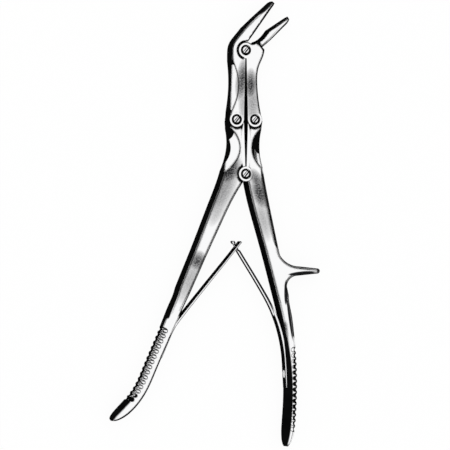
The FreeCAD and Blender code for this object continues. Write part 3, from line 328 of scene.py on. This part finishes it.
    def build_cloud(self) -> bpy.types.NodeTree:
        """Build a soft oval cloud at a place on the piece, seen from above."""
        group, ends = self.new_group(
            "oval_cloud",
            [("Centre X", "NodeSocketFloat", 0.0), ("Centre Y", "NodeSocketFloat", 0.0),
             ("Half Width", "NodeSocketFloat", 0.003), ("Half Length", "NodeSocketFloat", 0.01),
             ("Turn", "NodeSocketFloat", 0.0), ("Depth", "NodeSocketFloat", 0.6)],
            [("Amount", "NodeSocketFloat")],
        )
        shape = group.nodes.new("ShaderNodeTexCoord")
        centre = group.nodes.new("ShaderNodeCombineXYZ")
        group.links.new(ends["in"].outputs["Centre X"], centre.inputs["X"])
        group.links.new(ends["in"].outputs["Centre Y"], centre.inputs["Y"])
        away = group.nodes.new("ShaderNodeVectorMath")
        away.operation = "SUBTRACT"
        group.links.new(shape.outputs["Object"], away.inputs[0])
        group.links.new(centre.outputs[0], away.inputs[1])
        spin = group.nodes.new("ShaderNodeVectorRotate")
        spin.rotation_type = "Z_AXIS"
        group.links.new(away.outputs[0], spin.inputs["Vector"])
        group.links.new(ends["in"].outputs["Turn"], spin.inputs["Angle"])
        split = group.nodes.new("ShaderNodeSeparateXYZ")
        group.links.new(spin.outputs[0], split.inputs[0])
        size = ends["in"].outputs
        across = self.math_node(group, "DIVIDE", split.outputs["X"], size["Half Width"])
        along = self.math_node(group, "DIVIDE", split.outputs["Y"], size["Half Length"])
        across = self.math_node(group, "MULTIPLY", across, across)
        along = self.math_node(group, "MULTIPLY", along, along)
        distance = self.math_node(group, "ADD", across, along)
        bell = self.math_node(group, "SUBTRACT", 1.0, distance, clamp=True)
        bell = self.math_node(group, "POWER", bell, CLOUD_FALL)
        amount = self.math_node(group, "MULTIPLY", bell, ends["in"].outputs["Depth"])
        group.links.new(amount, ends["out"].inputs["Amount"])
        return group


@dataclass(frozen=True)
class SteelFinish:
    """One steel finish: its colour, its gloss, its walls of painted shade and its grey clouds of
    painted reflection.

    Slopes are the upright share of a surface's normal: 1 on a flat, 0 on a wall. Between
    its two slopes, start and end, a mask fades from dark to bright. Lengths are in
    millimetres.

    Attributes:
        name: the material's name.
        colour: the polished steel's colour.
        roughness: its mean roughness.
        walls: the greys painted on the walls and lines, as painted shade in the dark tone and
            painted light in the pale one.
        wall_start: slope below which a surface is a wall in the painted tone.
        wall_end: slope above which it is bright.
        line: reach of the painted dark line along every edge.
        cloud_start: slope below which no cloud shows.
        cloud_end: slope above which clouds show in full.
        sunk: heights between which everything is painted dark, as shade below the top faces.
        bump: strength of the polishing lines.
        clouds: the soft grey ovals of painted dark reflection and painted shadow lines.
        clear: places without an edge line.
        relief: places with wall slopes of their own.
        lines: places with a line reach of their own.
        shaded: places that get further walls of painted shade, with their slopes.
        leaning: places with painted shade where they lean left, away from the light, with the
            leans.
        rim: centre, inner and outer radius of a screw head's painted shadow rim.
    """

    name: str
    colour: tuple[float, float, float]
    roughness: float
    walls: Tone
    wall_start: float = 0.88
    wall_end: float = 0.985
    line: float = 2.6
    cloud_start: float = 0.88
    cloud_end: float = 0.97
    sunk: tuple[float, float] = (2.2, 6.0)
    bump: float = 0.05
    clouds: tuple[ShadeOval, ...] = ()
    clear: tuple[ShadeOval, ...] = ()
    relief: tuple[tuple[ShadeOval, float, float], ...] = ()
    lines: tuple[tuple[ShadeOval, float], ...] = ()
    shaded: tuple[tuple[ShadeOval, float, float], ...] = ()
    leaning: tuple[tuple[ShadeOval, float, float], ...] = ()
    rim: tuple[float, float, float, float] | None = None

    def make(self, groups: EffectGroups) -> bpy.types.Material:
        """Build the material.

        Args:
            groups: the shared effect groups.

        Returns:
            The new material.
        """
        material = bpy.data.materials.new(self.name)
        material.use_nodes = True
        tree = material.node_tree
        shader = tree.nodes["Principled BSDF"]
        shader.inputs["Specular IOR Level"].default_value = 0.0
        # painted dark reflections and shadow lines: the clouds grey the steel's own colour
        shade = self.cloud_shade(tree, groups)
        # painted shade and light: walls, edge lines, sunk places and screw rims take the wall
        # tone, not metallic
        dark_places = self.dark_mask(tree, groups)
        body = self.mix_colour(tree, shade, self.colour, REFLECTION_SHADE_GREY)
        grain = self.place(tree, groups.grain, {})
        deep, pale = self.walls.value
        dark = self.mix_colour(tree, grain.outputs["Variation"], (deep,) * 3, (pale,) * 3)
        tree.links.new(self.mix_colour(tree, dark_places, body, dark),
                       shader.inputs["Base Color"])
        tree.links.new(EffectGroups.math_node(tree, "SUBTRACT", 1.0, dark_places, clamp=True),
                       shader.inputs["Metallic"])
        rough = tree.nodes.new("ShaderNodeMapRange")
        tree.links.new(grain.outputs["Variation"], rough.inputs["Value"])
        rough.inputs["From Min"].default_value = ROUGH_SPREAD
        rough.inputs["From Max"].default_value = 1 - ROUGH_SPREAD
        rough.inputs["To Min"].default_value = self.roughness * (1 - ROUGH_SPREAD)
        rough.inputs["To Max"].default_value = self.roughness * (1 + ROUGH_SPREAD)
        tree.links.new(rough.outputs["Result"], shader.inputs["Roughness"])
        bump = tree.nodes.new("ShaderNodeBump")
        bump.inputs["Strength"].default_value = self.bump
        bump.inputs["Distance"].default_value = 0.1 * MM
        tree.links.new(grain.outputs["Height"], bump.inputs["Height"])
        tree.links.new(bump.outputs["Normal"], shader.inputs["Normal"])
        return material

    def dark_mask(self, tree: bpy.types.NodeTree, groups: EffectGroups) -> bpy.types.NodeSocket:
        """Join the painted shade of the walls, the edge lines, the sunk and the shaded places
        into one mask.

        Args:
            tree: the material's nodes.
            groups: the shared effect groups.

        Returns:
            The socket with the mask, 1 where the wall tone is painted on the steel.
        """
        walls = self.place(tree, groups.walls, {"Start": self.wall_start, "End": self.wall_end})
        wall = walls.outputs["Wall"]
        for cloud, start, end in self.relief:
            softer = self.place(tree, groups.walls, {"Start": start, "End": end})
            wall = self.choose(tree, self.firm(tree, groups, (cloud,)), wall,
                               softer.outputs["Wall"])
        edges = self.place(tree, groups.edges, {"Reach": self.line * MM})
        reach: object = self.line * MM
        for cloud, width in self.lines:
            reach = self.choose(tree, self.firm(tree, groups, (cloud,)), reach, width * MM)
        if self.lines:
            tree.links.new(reach, edges.inputs["Reach"])
        line = edges.outputs["Line"]
        if self.clear:
            inside = self.join_clouds(tree, groups, self.clear)
            outside = EffectGroups.math_node(tree, "MULTIPLY_ADD", inside, -CLEARING)
            outside.node.inputs[2].default_value = 1.0
            outside.node.use_clamp = True
            line = EffectGroups.math_node(tree, "MULTIPLY", line, outside)
        dark = EffectGroups.math_node(tree, "MAXIMUM", wall, line)
        for places, group, output in ((self.shaded, groups.walls, "Wall"),
                                      (self.leaning, groups.lean, "Mask")):
            for cloud, start, end in places:
                effect = self.place(tree, group, {"Start": start, "End": end})
                firm = self.firm(tree, groups, (cloud,))
                share = EffectGroups.math_node(tree, "MULTIPLY", firm, effect.outputs[output])
                dark = EffectGroups.math_node(tree, "MAXIMUM", dark, share)
        # painted shadow crescent round the screw head
        if self.rim:
            x, y, inner, outer = self.rim
            rim = self.place(tree, groups.rim, {"Centre X": x * MM, "Centre Y": y * MM,
                                                "Inner": inner * MM, "Outer": outer * MM})
            dark = EffectGroups.math_node(tree, "MAXIMUM", dark, rim.outputs["Rim"])
        # painted shade on everything between the sunk heights
        sunk = self.place(tree, groups.recess,
                          {"Low": self.sunk[0] * MM, "High": self.sunk[1] * MM})
        return EffectGroups.math_node(tree, "MAXIMUM", dark, sunk.outputs["Mask"])

    def cloud_shade(self, tree: bpy.types.NodeTree, groups: EffectGroups) -> bpy.types.NodeSocket:
        """Turn the finish's clouds of painted reflection and shadow into one mask broken up by
        grain.

        Args:
            tree: the material's nodes.
            groups: the shared effect groups.

        Returns:
            The socket with the mask.
        """
        stipple = self.place(tree, groups.stipple, {"Amount": 0.0})
        if self.clouds:
            slopes = self.place(tree, groups.walls,
                                {"Start": self.cloud_start, "End": self.cloud_end})
            flats = EffectGroups.math_node(tree, "SUBTRACT", 1.0, slopes.outputs["Wall"])
            amount = self.join_clouds(tree, groups, self.clouds)
            tree.links.new(EffectGroups.math_node(tree, "MULTIPLY", amount, flats),
                           stipple.inputs["Amount"])
        return stipple.outputs["Mask"]

    def join_clouds(self, tree: bpy.types.NodeTree, groups: EffectGroups,
                    clouds: tuple[ShadeOval, ...]) -> bpy.types.NodeSocket:
        """Join several clouds into one amount, the strongest at each place.

        Args:
            tree: the material's nodes.
            groups: the shared effect groups.
            clouds: the clouds.

        Returns:
            The socket with the amount.
        """
        total: object = 0.0
        for cloud in clouds:
            node = self.place(tree, groups.cloud, {
                "Centre X": cloud.centre[0] * MM, "Centre Y": cloud.centre[1] * MM,
                "Half Width": cloud.reach[0] * MM, "Half Length": cloud.reach[1] * MM,
                "Turn": math.radians(cloud.turn), "Depth": cloud.depth,
            })
            total = EffectGroups.math_node(tree, "MAXIMUM", node.outputs["Amount"], total)
        return total

    def firm(self, tree: bpy.types.NodeTree, groups: EffectGroups,
             clouds: tuple[ShadeOval, ...]) -> bpy.types.NodeSocket:
        """Join several clouds into one mask with a nearly crisp border.

        Args:
            tree: the material's nodes.
            groups: the shared effect groups.
            clouds: the clouds.

        Returns:
            The socket with the mask.
        """
        inside = self.join_clouds(tree, groups, clouds)
        return EffectGroups.math_node(tree, "MULTIPLY", inside, FIRMNESS, clamp=True)

    @staticmethod
    def choose(tree: bpy.types.NodeTree, mask: bpy.types.NodeSocket,
               outside: object, inside: object) -> bpy.types.NodeSocket:
        """Give one value outside a mask and another inside it.

        Args:
            tree: the material's nodes.
            mask: the socket with the mask.
            outside: a socket or a number.
            inside: a socket or a number.

        Returns:
            The socket with the chosen value.
        """
        node = tree.nodes.new("ShaderNodeMix")
        node.data_type = "FLOAT"
        tree.links.new(mask, node.inputs[0])
        for index, value in ((2, outside), (3, inside)):
            if isinstance(value, float):
                node.inputs[index].default_value = value
            else:
                tree.links.new(value, node.inputs[index])
        return node.outputs[0]

    @staticmethod
    def place(tree: bpy.types.NodeTree, group: bpy.types.NodeTree,
              values: dict[str, float]) -> bpy.types.Node:
        """Place a shared group in a material with its own values.

        Args:
            tree: the material's nodes.
            group: the shared group.
            values: the value of each input that differs from the group's.

        Returns:
            The new group node.
        """
        node = tree.nodes.new("ShaderNodeGroup")
        node.node_tree = group
        for label, value in values.items():
            node.inputs[label].default_value = value
        return node

    @staticmethod
    def mix_colour(tree: bpy.types.NodeTree, factor: bpy.types.NodeSocket,
                   first: object, second: object) -> bpy.types.NodeSocket:
        """Mix two colours, each a socket or three numbers, by a mask.

        Args:
            tree: the material's nodes.
            factor: the socket with the mask, 0 for the first colour.
            first: the first colour.
            second: the second colour.

        Returns:
            The socket with the mixed colour.
        """
        node = tree.nodes.new("ShaderNodeMix")
        node.data_type = "RGBA"
        tree.links.new(factor, node.inputs[0])
        for index, value in ((6, first), (7, second)):
            if isinstance(value, tuple):
                node.inputs[index].default_value = (*value, 1.0)
            else:
                tree.links.new(value, node.inputs[index])
        return node.outputs[2]


def soften_edges(piece: bpy.types.Object, edge: float) -> None:
    """Break a piece's sharp edges, and keep the shading crisp across the rest.

    Args:
        piece: the piece.
        edge: width of the broken edges, in metres.
    """
    soften = piece.modifiers.new("broken_edges", "BEVEL")
    soften.width = edge
    soften.segments = 2
    soften.limit_method = "ANGLE"
    soften.angle_limit = HARD_EDGE
    split = piece.modifiers.new("crisp_edges", "EDGE_SPLIT")
    split.split_angle = CRISP_EDGE


def coat(piece: bpy.types.Object, material: bpy.types.Material) -> None:
    """Give every face of a piece one finish and smooth shading.

    Args:
        piece: the piece.
        material: its finish.
    """
    mesh = piece.data
    mesh.materials.clear()
    mesh.materials.append(material)
    mesh.polygons.foreach_set("material_index", [0] * len(mesh.polygons))
    mesh.polygons.foreach_set("use_smooth", [True] * len(mesh.polygons))


def dress(node: str, material: bpy.types.Material, edge: float) -> None:
    """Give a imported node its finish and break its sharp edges.

    Args:
        node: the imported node's name.
        material: its finish.
        edge: width of the broken edges, in metres.
    """
    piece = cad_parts[node]
    coat(piece, material)
    weld = piece.modifiers.new("weld", "WELD")
    weld.merge_threshold = GRID_SLACK
    soften_edges(piece, edge)
    piece.data.update()
    log.info("dressed %s", node)


@dataclass
class Handles:
    """The two handles: arm, shank, grip, and the right one's finger spur."""

    edge: float = 0.12 * MM
    # painted dark reflections on the flats of the shoulder and shank
    left_clouds: tuple[ShadeOval, ...] = (
        ShadeOval("left_shoulder", (-9.0, 1.0), (5.4, 10.0), 30.0, 0.98),
        ShadeOval("left_upper_shank", (-12.9, -8.0), (6.8, 20.0), 25.0, 0.66),
        ShadeOval("left_mid_shank", (-15.6, -18.5), (4.0, 11.0), 25.0, 0.45),
        ShadeOval("left_patch", (-27.2, -46.6), (5.2, 6.2), 25.0, 0.9),
        ShadeOval("left_lower_shank", (-31.2, -56.0), (4.6, 15.0), 25.0, 0.5),
    )
    left_relief: tuple[tuple[ShadeOval, float, float], ...] = (
        (ShadeOval("left_arm_scoop", (-9.4, 12.0), (7.0, 12.0), 0.0, 1.0), 0.1, 0.3),
        (ShadeOval("left_grip_sides", (-55.0, -108.0), (16.0, 38.0), 35.0, 1.0), 0.4, 0.62),
    )
    left_lines: tuple[tuple[ShadeOval, float], ...] = (
        (ShadeOval("left_grooves", (-51.0, -101.0), (10.0, 32.0), 30.0, 1.0), 1.2),
    )
    left_clear: tuple[ShadeOval, ...] = (
        ShadeOval("left_arm_gap", (0.0, 15.0), (2.6, 14.0), 0.0, 1.0),
        ShadeOval("left_link_boss", (-5.13, 29.1), (3.9, 3.9), 0.0, 1.0),
        ShadeOval("left_main_boss", (0.0, 0.0), (3.9, 3.9), 0.0, 1.0),
    )
    # painted shade on the scoop's top and along the grip's edges
    left_shaded: tuple[tuple[ShadeOval, float, float], ...] = (
        (ShadeOval("left_scoop_top", (-9.2, 22.6), (2.6, 4.2), 0.0, 1.0), 0.9, 0.97),
        (ShadeOval("left_grip_edge", (-47.5, -102.0), (3.2, 26.0), 26.6, 1.0), 0.75, 0.88),
        (ShadeOval("left_curl_edge", (-64.0, -124.0), (3.5, 12.0), 47.0, 1.0), 0.75, 0.88),
    )
    # painted shade on the grip's end where it leans left
    left_leaning: tuple[tuple[ShadeOval, float, float], ...] = (
        (ShadeOval("left_grip_end", (-68.0, -127.0), (7.0, 10.0), 40.0, 1.0), -0.3, -0.1),
    )
    # painted dark reflections on the shank, and painted shadow lines under and below the spur and
    # along the right edge
    right_clouds: tuple[ShadeOval, ...] = (
        ShadeOval("right_shoulder", (6.4, -4.0), (3.8, 8.0), -28.0, 0.85),
        ShadeOval("right_upper_shank", (7.6, -10.0), (4.6, 10.5), -16.0, 0.95),
        ShadeOval("right_mid_shank", (9.6, -24.0), (3.8, 13.0), -15.0, 0.5),
        ShadeOval("under_spur", (31.5, -53.2), (1.1, 8.0), 85.0, 2.4),
        ShadeOval("below_spur", (22.6, -63.5), (1.1, 7.0), 0.0, 2.4),
        ShadeOval("right_edge", (24.8, -77.5), (0.8, 12.5), -8.5, 2.4),
    )
    right_relief: tuple[tuple[ShadeOval, float, float], ...] = (
        (ShadeOval("right_arm_scoop", (9.6, 11.0), (4.5, 11.0), 0.0, 1.0), 0.4, 0.62),
        (ShadeOval("right_grip_sides", (24.0, -121.0), (14.0, 35.0), 0.0, 1.0), 0.4, 0.62),
    )
    right_lines: tuple[tuple[ShadeOval, float], ...] = (
        (ShadeOval("right_grooves", (29.0, -118.0), (7.0, 30.0), 0.0, 1.0), 1.2),
        (ShadeOval("right_shank_edge", (13.5, -18.0), (3.0, 22.0), -11.0, 1.0), 6.0),
    )
    right_clear: tuple[ShadeOval, ...] = (
        ShadeOval("right_arm_gap", (0.0, 15.0), (2.6, 14.0), 0.0, 1.0),
        ShadeOval("right_link_boss", (5.13, 29.1), (3.9, 3.9), 0.0, 1.0),
        ShadeOval("right_main_boss", (0.0, 0.0), (3.9, 3.9), 0.0, 1.0),
    )
    # painted shade on the scoop's top and along the grip's right edge
    right_shaded: tuple[tuple[ShadeOval, float, float], ...] = (
        (ShadeOval("right_scoop_top", (8.4, 18.2), (4.5, 7.5), 0.0, 1.0), 0.9, 0.97),
        (ShadeOval("right_grip_edge", (30.0, -117.0), (3.6, 30.0), 0.0, 1.0), 0.75, 0.88),
    )
    # painted shade on the right grip where it leans left
    right_leaning: tuple[tuple[ShadeOval, float, float], ...] = (
        (ShadeOval("right_grip", (14.2, -118.0), (12.6, 46.0), 0.0, 1.0), 0.5, 0.8),
    )

    def build(self, groups: EffectGroups) -> None:
        """Dress both handles."""
        for side, clouds, clear, relief, lines, shaded, leaning in (
                ("left", self.left_clouds, self.left_clear, self.left_relief,
                 self.left_lines, self.left_shaded, self.left_leaning),
                ("right", self.right_clouds, self.right_clear, self.right_relief,
                 self.right_lines, self.right_shaded, self.right_leaning)):
            finish = SteelFinish("polished_%s_handle" % side, PLATE_STEEL, 0.1,
                                 Tone.PAINTED_SHADE_TONE, line=3.4, clouds=clouds, clear=clear,
                                 relief=relief, lines=lines, shaded=shaded,
                                 leaning=leaning)
            dress(side + "_handle", finish.make(groups), self.edge)


@dataclass
class Jaws:
    """The two jaws: forked levers with a half lap and cupped blades."""

    edge: float = 0.12 * MM
    # painted dark reflections on the lever, and painted shade along the blade's back
    left_clouds: tuple[ShadeOval, ...] = (
        ShadeOval("left_lever_upper", (-2.2, 50.0), (3.6, 12.5), 6.0, 0.92),
        ShadeOval("left_lever_lower", (-1.6, 37.5), (2.8, 9.0), 0.0, 0.5),
        ShadeOval("left_blade_back", (11.6, 89.0), (1.5, 6.0), 48.7, 2.0),
    )
    left_relief: tuple[tuple[ShadeOval, float, float], ...] = (
        (ShadeOval("left_lever_scoop", (-7.2, 46.0), (3.4, 12.5), 0.0, 1.0), 0.4, 0.62),
    )
    lines: tuple[tuple[ShadeOval, float], ...] = (
        (ShadeOval("front_ring", (0.0, 66.2), (7.0, 7.0), 0.0, 1.0), 1.7),
    )
    left_clear: tuple[ShadeOval, ...] = (
        ShadeOval("left_lever_gap", (0.0, 45.0), (2.9, 18.5), 0.0, 1.0),
        ShadeOval("left_front_boss", (0.0, 66.2), (3.9, 3.9), 0.0, 1.0),
        ShadeOval("left_fork", (-5.13, 29.1), (3.9, 3.9), 0.0, 1.0),
    )
    # painted dark reflections on the lever, and painted shade with a painted shadow line at the
    # blade's root
    right_clouds: tuple[ShadeOval, ...] = (
        ShadeOval("right_lever_upper", (2.8, 47.5), (3.8, 9.5), 0.0, 0.95),
        ShadeOval("right_lever_lower", (3.7, 38.0), (4.6, 11.0), 0.0, 0.6),
        ShadeOval("right_root_shade", (7.4, 69.6), (1.9, 1.6), 0.0, 0.6),
        ShadeOval("right_root_line", (8.6, 68.4), (0.6, 3.1), -42.6, 2.5),
    )
    right_clear: tuple[ShadeOval, ...] = (
        ShadeOval("right_lever_gap", (0.0, 45.0), (2.9, 18.5), 0.0, 1.0),
        ShadeOval("right_front_boss", (0.0, 66.2), (3.9, 3.9), 0.0, 1.0),
        ShadeOval("right_fork", (5.13, 29.1), (3.9, 3.9), 0.0, 1.0),
    )

    def build(self, groups: EffectGroups) -> None:
        """Dress both jaws."""
        for side, clouds, clear, relief in (
                ("left", self.left_clouds, self.left_clear, self.left_relief),
                ("right", self.right_clouds, self.right_clear, ())):
            finish = SteelFinish("polished_%s_jaw" % side, PLATE_STEEL, 0.1,
                                 Tone.PAINTED_SHADE_TONE, clouds=clouds, clear=clear, relief=relief,
                                 lines=self.lines, cloud_start=0.5, cloud_end=0.8)
            dress(side + "_jaw", finish.make(groups), self.edge)


@dataclass
class Screws:
    """The four slotted pivot screws and the two countersunk spring screws."""

    edge: float = 0.06 * MM
    pivots: tuple[tuple[str, float, float], ...] = (
        ("front_pivot_screw", 0.0, 66.2),
        ("left_link_screw", -5.13, 29.1),
        ("right_link_screw", 5.13, 29.1),
        ("main_pivot_screw", 0.0, 0.0),
    )
    springs: tuple[str, ...] = ("left_spring_screw", "right_spring_screw")
    rim_inner: float = 1.45
    rim_outer: float = 1.75
    rim_shift: float = 0.12
    slot_turn: float = 50.0
    slot_half: float = 0.52
    slot_line: tuple[float, float] = (0.34, 1.8)

    def build(self, groups: EffectGroups) -> None:
        """Dress every screw."""
        for name, x, y in self.pivots:
            # painted shadow: the rim's centre shifts left and up, so its dark crescent is widest
            # at the lower right
            rim = (x - self.rim_shift, y + self.rim_shift, self.rim_inner, self.rim_outer)
            turn = math.radians(self.slot_turn)
            across = (-math.sin(turn) * self.slot_half, math.cos(turn) * self.slot_half)
            # painted shadow lines along both sides of the slot
            sides = tuple(ShadeOval("slot_side", (x + sign * across[0], y + sign * across[1]),
                                 self.slot_line, 90.0 - self.slot_turn, 4.0)
                          for sign in (-1.0, 1.0))
            finish = SteelFinish("turned_" + name, SCREW_STEEL, 0.14, Tone.PAINTED_SHADE_TONE,
                                 wall_start=0.5, wall_end=0.72, line=0.3, sunk=(0.4, 7.4),
                                 clouds=sides, cloud_start=-1.0, cloud_end=-0.5, rim=rim)
            dress(name, finish.make(groups), self.edge)
        # painted light: the spring screws' walls and edge lines are painted pale
        finish = SteelFinish("painted_light_spring_screw", SCREW_STEEL, 0.14, Tone.PAINTED_LIGHT_TONE,
                             wall_start=0.5, wall_end=0.72, line=0.2, sunk=(-2.0, -1.0))
        material = finish.make(groups)
        for name in self.springs:
            dress(name, material, self.edge)


@dataclass
class LeafSprings:
    """The two crossed leaf springs between the handles."""

    edge: float = 0.1 * MM
    crossing: tuple[float, float, float] = (-3.2, -40.4, 4.3)
    left_root: tuple[float, float, float] = (-41.9, -86.1, 4.3)
    right_root: tuple[float, float, float] = (23.2, -101.7, 4.3)
    # painted shade: the crest darkens the top of the right leaf's upper part, the root oval
    # darkens its lower flank
    right_crest: ShadeOval = ShadeOval("right_leaf_crest", (4.0, -54.0), (4.0, 25.0), -28.9, 4.0)
    right_shade: ShadeOval = ShadeOval("right_leaf_root", (22.0, -97.0), (16.0, 23.0), 0.0, 1.0)

    def build(self, groups: EffectGroups) -> None:
        """Copy each leaf's shape to its own piece, and dress it."""
        # painted shade on the leaves' walls, edge lines and the band between the sunk heights
        left = SteelFinish("left_spring_leaf", LEAF_STEEL, 0.14, Tone.PAINTED_SHADE_TONE,
                           wall_start=0.5, wall_end=0.72, line=0.9, sunk=(2.0, 6.4))
        right = SteelFinish("right_spring_leaf", LEAF_STEEL, 0.14, Tone.PAINTED_SHADE_TONE,
                            wall_start=-1.0, wall_end=-0.5, line=0.5, sunk=(-1.0, 4.8),
                            clouds=(self.right_crest,),
                            shaded=((self.right_shade, 0.5, 0.74),))
        for side, root, other, finish in (("left", self.left_root, "right", left),
                                          ("right", self.right_root, "left", right)):
            self.bending_leaf(side, finish.make(groups))

    def bending_leaf(self, side: str,
                     material: bpy.types.Material) -> None:
        """Make one leaf as its own piece, from a copy of the imported leaf.

        Args:
            side: the side that the leaf is screwed to.
            material: the leaf's finish.
        """
        node = side + "_leaf_spring"
        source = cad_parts[node]
        piece = bpy.data.objects.new(side + "_bending_leaf", source.data.copy())
        bpy.context.scene.collection.objects.link(piece)
        bench = bmesh.new()
        bench.from_mesh(piece.data)
        bmesh.ops.remove_doubles(bench, verts=bench.verts, dist=GRID_SLACK)
        bench.to_mesh(piece.data)
        bench.free()
        coat(piece, material)
        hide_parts(node)
        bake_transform(piece)
        soften_edges(piece, self.edge)
        log.info("built %s", piece.name)


@dataclass
class Studio:
    """The pale floor, the white world, the dark side cards, the lamp and the camera."""

    tilt: float = 18.0
    pixel: float = 0.536 * MM
    pixels: int = 450
    aim: tuple[float, float] = (-8.55 * MM, -27.3 * MM)
    distance: float = 3.0
    clip: tuple[float, float] = (0.1, 20.0)
    sensor: float = 36.0
    floor_half: float = 1.6
    floor_level: float = -0.0002
    floor_grey: float = 0.93
    card_steps: int = 64
    card_radius: float = 0.9
    card_foot: float = 0.004
    card_top: float = 0.22
    card_grey: float = 0.03
    lamp_place: tuple[float, float, float] = (-0.55, 0.5, 1.0)
    lamp_size: float = 0.4
    lamp_power: float = 0.3
    world_level: float = 1.0
    background_share: float = 0.94

    def build(self) -> None:
        """Set the floor, the world, the cards, the lamp and the camera."""
        self.floor()
        self.world()
        self.side_cards()
        self.lamp()
        self.camera()
        scene = bpy.context.scene
        scene.view_settings.view_transform = "Standard"
        log.info("studio ready")

    def seen_rays(self, tree: bpy.types.NodeTree) -> bpy.types.NodeSocket:
        """Give 1 for rays from the camera and for those through gloss or glass.

        Args:
            tree: the material's nodes.

        Returns:
            The socket with the mask.
        """
        path = tree.nodes.new("ShaderNodeLightPath")
        seen = EffectGroups.math_node(tree, "ADD", path.outputs["Is Camera Ray"],
                                      path.outputs["Is Glossy Ray"], clamp=True)
        return EffectGroups.math_node(tree, "ADD", seen,
                                      path.outputs["Is Transmission Ray"], clamp=True)

    def floor(self) -> None:
        """Lay the plain pale floor."""
        half = self.floor_half
        bench = bmesh.new()
        corners = [bench.verts.new((x * half, y * half, self.floor_level))
                   for x, y in ((-1, -1), (1, -1), (1, 1), (-1, 1))]
        bench.faces.new(corners)
        mesh = bpy.data.meshes.new("floor")
        bench.to_mesh(mesh)
        bench.free()
        sheet = bpy.data.objects.new("floor", mesh)
        bpy.context.scene.collection.objects.link(sheet)
        material = bpy.data.materials.new("pale_floor")
        material.use_nodes = True
        tree = material.node_tree
        tree.nodes.clear()
        diffuse = tree.nodes.new("ShaderNodeBsdfDiffuse")
        diffuse.inputs["Color"].default_value = (*(self.floor_grey,) * 3, 1.0)
        glow = tree.nodes.new("ShaderNodeEmission")
        glow.inputs["Color"].default_value = (1.0, 1.0, 1.0, 1.0)
        blend = tree.nodes.new("ShaderNodeMixShader")
        share = EffectGroups.math_node(tree, "MULTIPLY", self.seen_rays(tree),
                                       self.background_share)
        tree.links.new(share, blend.inputs[0])
        tree.links.new(diffuse.outputs[0], blend.inputs[1])
        tree.links.new(glow.outputs[0], blend.inputs[2])
        output = tree.nodes.new("ShaderNodeOutputMaterial")
        tree.links.new(blend.outputs[0], output.inputs["Surface"])
        mesh.materials.append(material)

    def world(self) -> None:
        """Give the scene a plain white world."""
        world = bpy.data.worlds.new("white_room")
        bpy.context.scene.world = world
        world.use_nodes = True
        back = world.node_tree.nodes["Background"]
        back.inputs["Color"].default_value = (1.0, 1.0, 1.0, 1.0)
        back.inputs["Strength"].default_value = self.world_level

    def side_cards(self) -> None:
        """Stand a ring of dark cards round the table for the steel to reflect."""
        bench = bmesh.new()
        steps = self.card_steps
        rows = []
        for height in (self.card_foot, self.card_top):
            ring = [bench.verts.new((self.card_radius * math.cos(2 * math.pi * step / steps),
                                     self.card_radius * math.sin(2 * math.pi * step / steps),
                                     height)) for step in range(steps)]
            rows.append(ring)
        for step in range(steps):
            following = (step + 1) % steps
            bench.faces.new((rows[0][step], rows[0][following],
                             rows[1][following], rows[1][step]))
        mesh = bpy.data.meshes.new("side_cards")
        bench.to_mesh(mesh)
        bench.free()
        ring = bpy.data.objects.new("side_cards", mesh)
        bpy.context.scene.collection.objects.link(ring)
        material = bpy.data.materials.new("dark_card")
        material.use_nodes = True
        shader = material.node_tree.nodes["Principled BSDF"]
        shader.inputs["Base Color"].default_value = (*(self.card_grey,) * 3, 1.0)
        shader.inputs["Roughness"].default_value = 1.0
        mesh.materials.append(material)
        ring.visible_camera = False
        ring.visible_shadow = False
        ring.visible_diffuse = False

    def lamp(self) -> None:
        """Hang one soft lamp, for a faint shadow."""
        data = bpy.data.lights.new("soft_box", "AREA")
        data.shape = "DISK"
        data.size = self.lamp_size
        data.energy = self.lamp_power
        lamp = bpy.data.objects.new("soft_box", data)
        lamp.location = self.lamp_place
        lamp.rotation_euler = (-lamp.location).to_track_quat("-Z", "Y").to_euler()
        bpy.context.scene.collection.objects.link(lamp)

    def camera(self) -> None:
        """Set the camera at the drawing's angle, with a long lens."""
        tilt = math.radians(self.tilt)
        across = Vector((math.cos(tilt), 0.0, math.sin(tilt)))
        back = Vector((-math.sin(tilt), 0.0, math.cos(tilt)))
        data = bpy.data.cameras.new("long_lens")
        width = self.pixel * self.pixels
        data.sensor_fit = "HORIZONTAL"
        data.sensor_width = self.sensor
        data.lens = data.sensor_width * self.distance / width
        data.clip_start, data.clip_end = self.clip
        camera = bpy.data.objects.new("long_lens", data)
        middle = across * self.aim[0] + Vector((0.0, self.aim[1], 0.0))
        place = middle + back * self.distance
        turn = Matrix((across, Vector((0.0, 1.0, 0.0)), back)).transposed()
        camera.matrix_world = Matrix.Translation(place) @ turn.to_4x4()
        bpy.context.scene.collection.objects.link(camera)
        bpy.context.scene.camera = camera


def main() -> None:
    """Build the instrument's looks in order, then the studio."""
    logging.basicConfig(level=logging.INFO, format="%(name)s: %(message)s")
    groups = EffectGroups()
    for assembly in (Handles(), Jaws(), Screws(), LeafSprings()):
        assembly.build(groups)
    Studio().build()


if __name__ == "__main__":
    main()
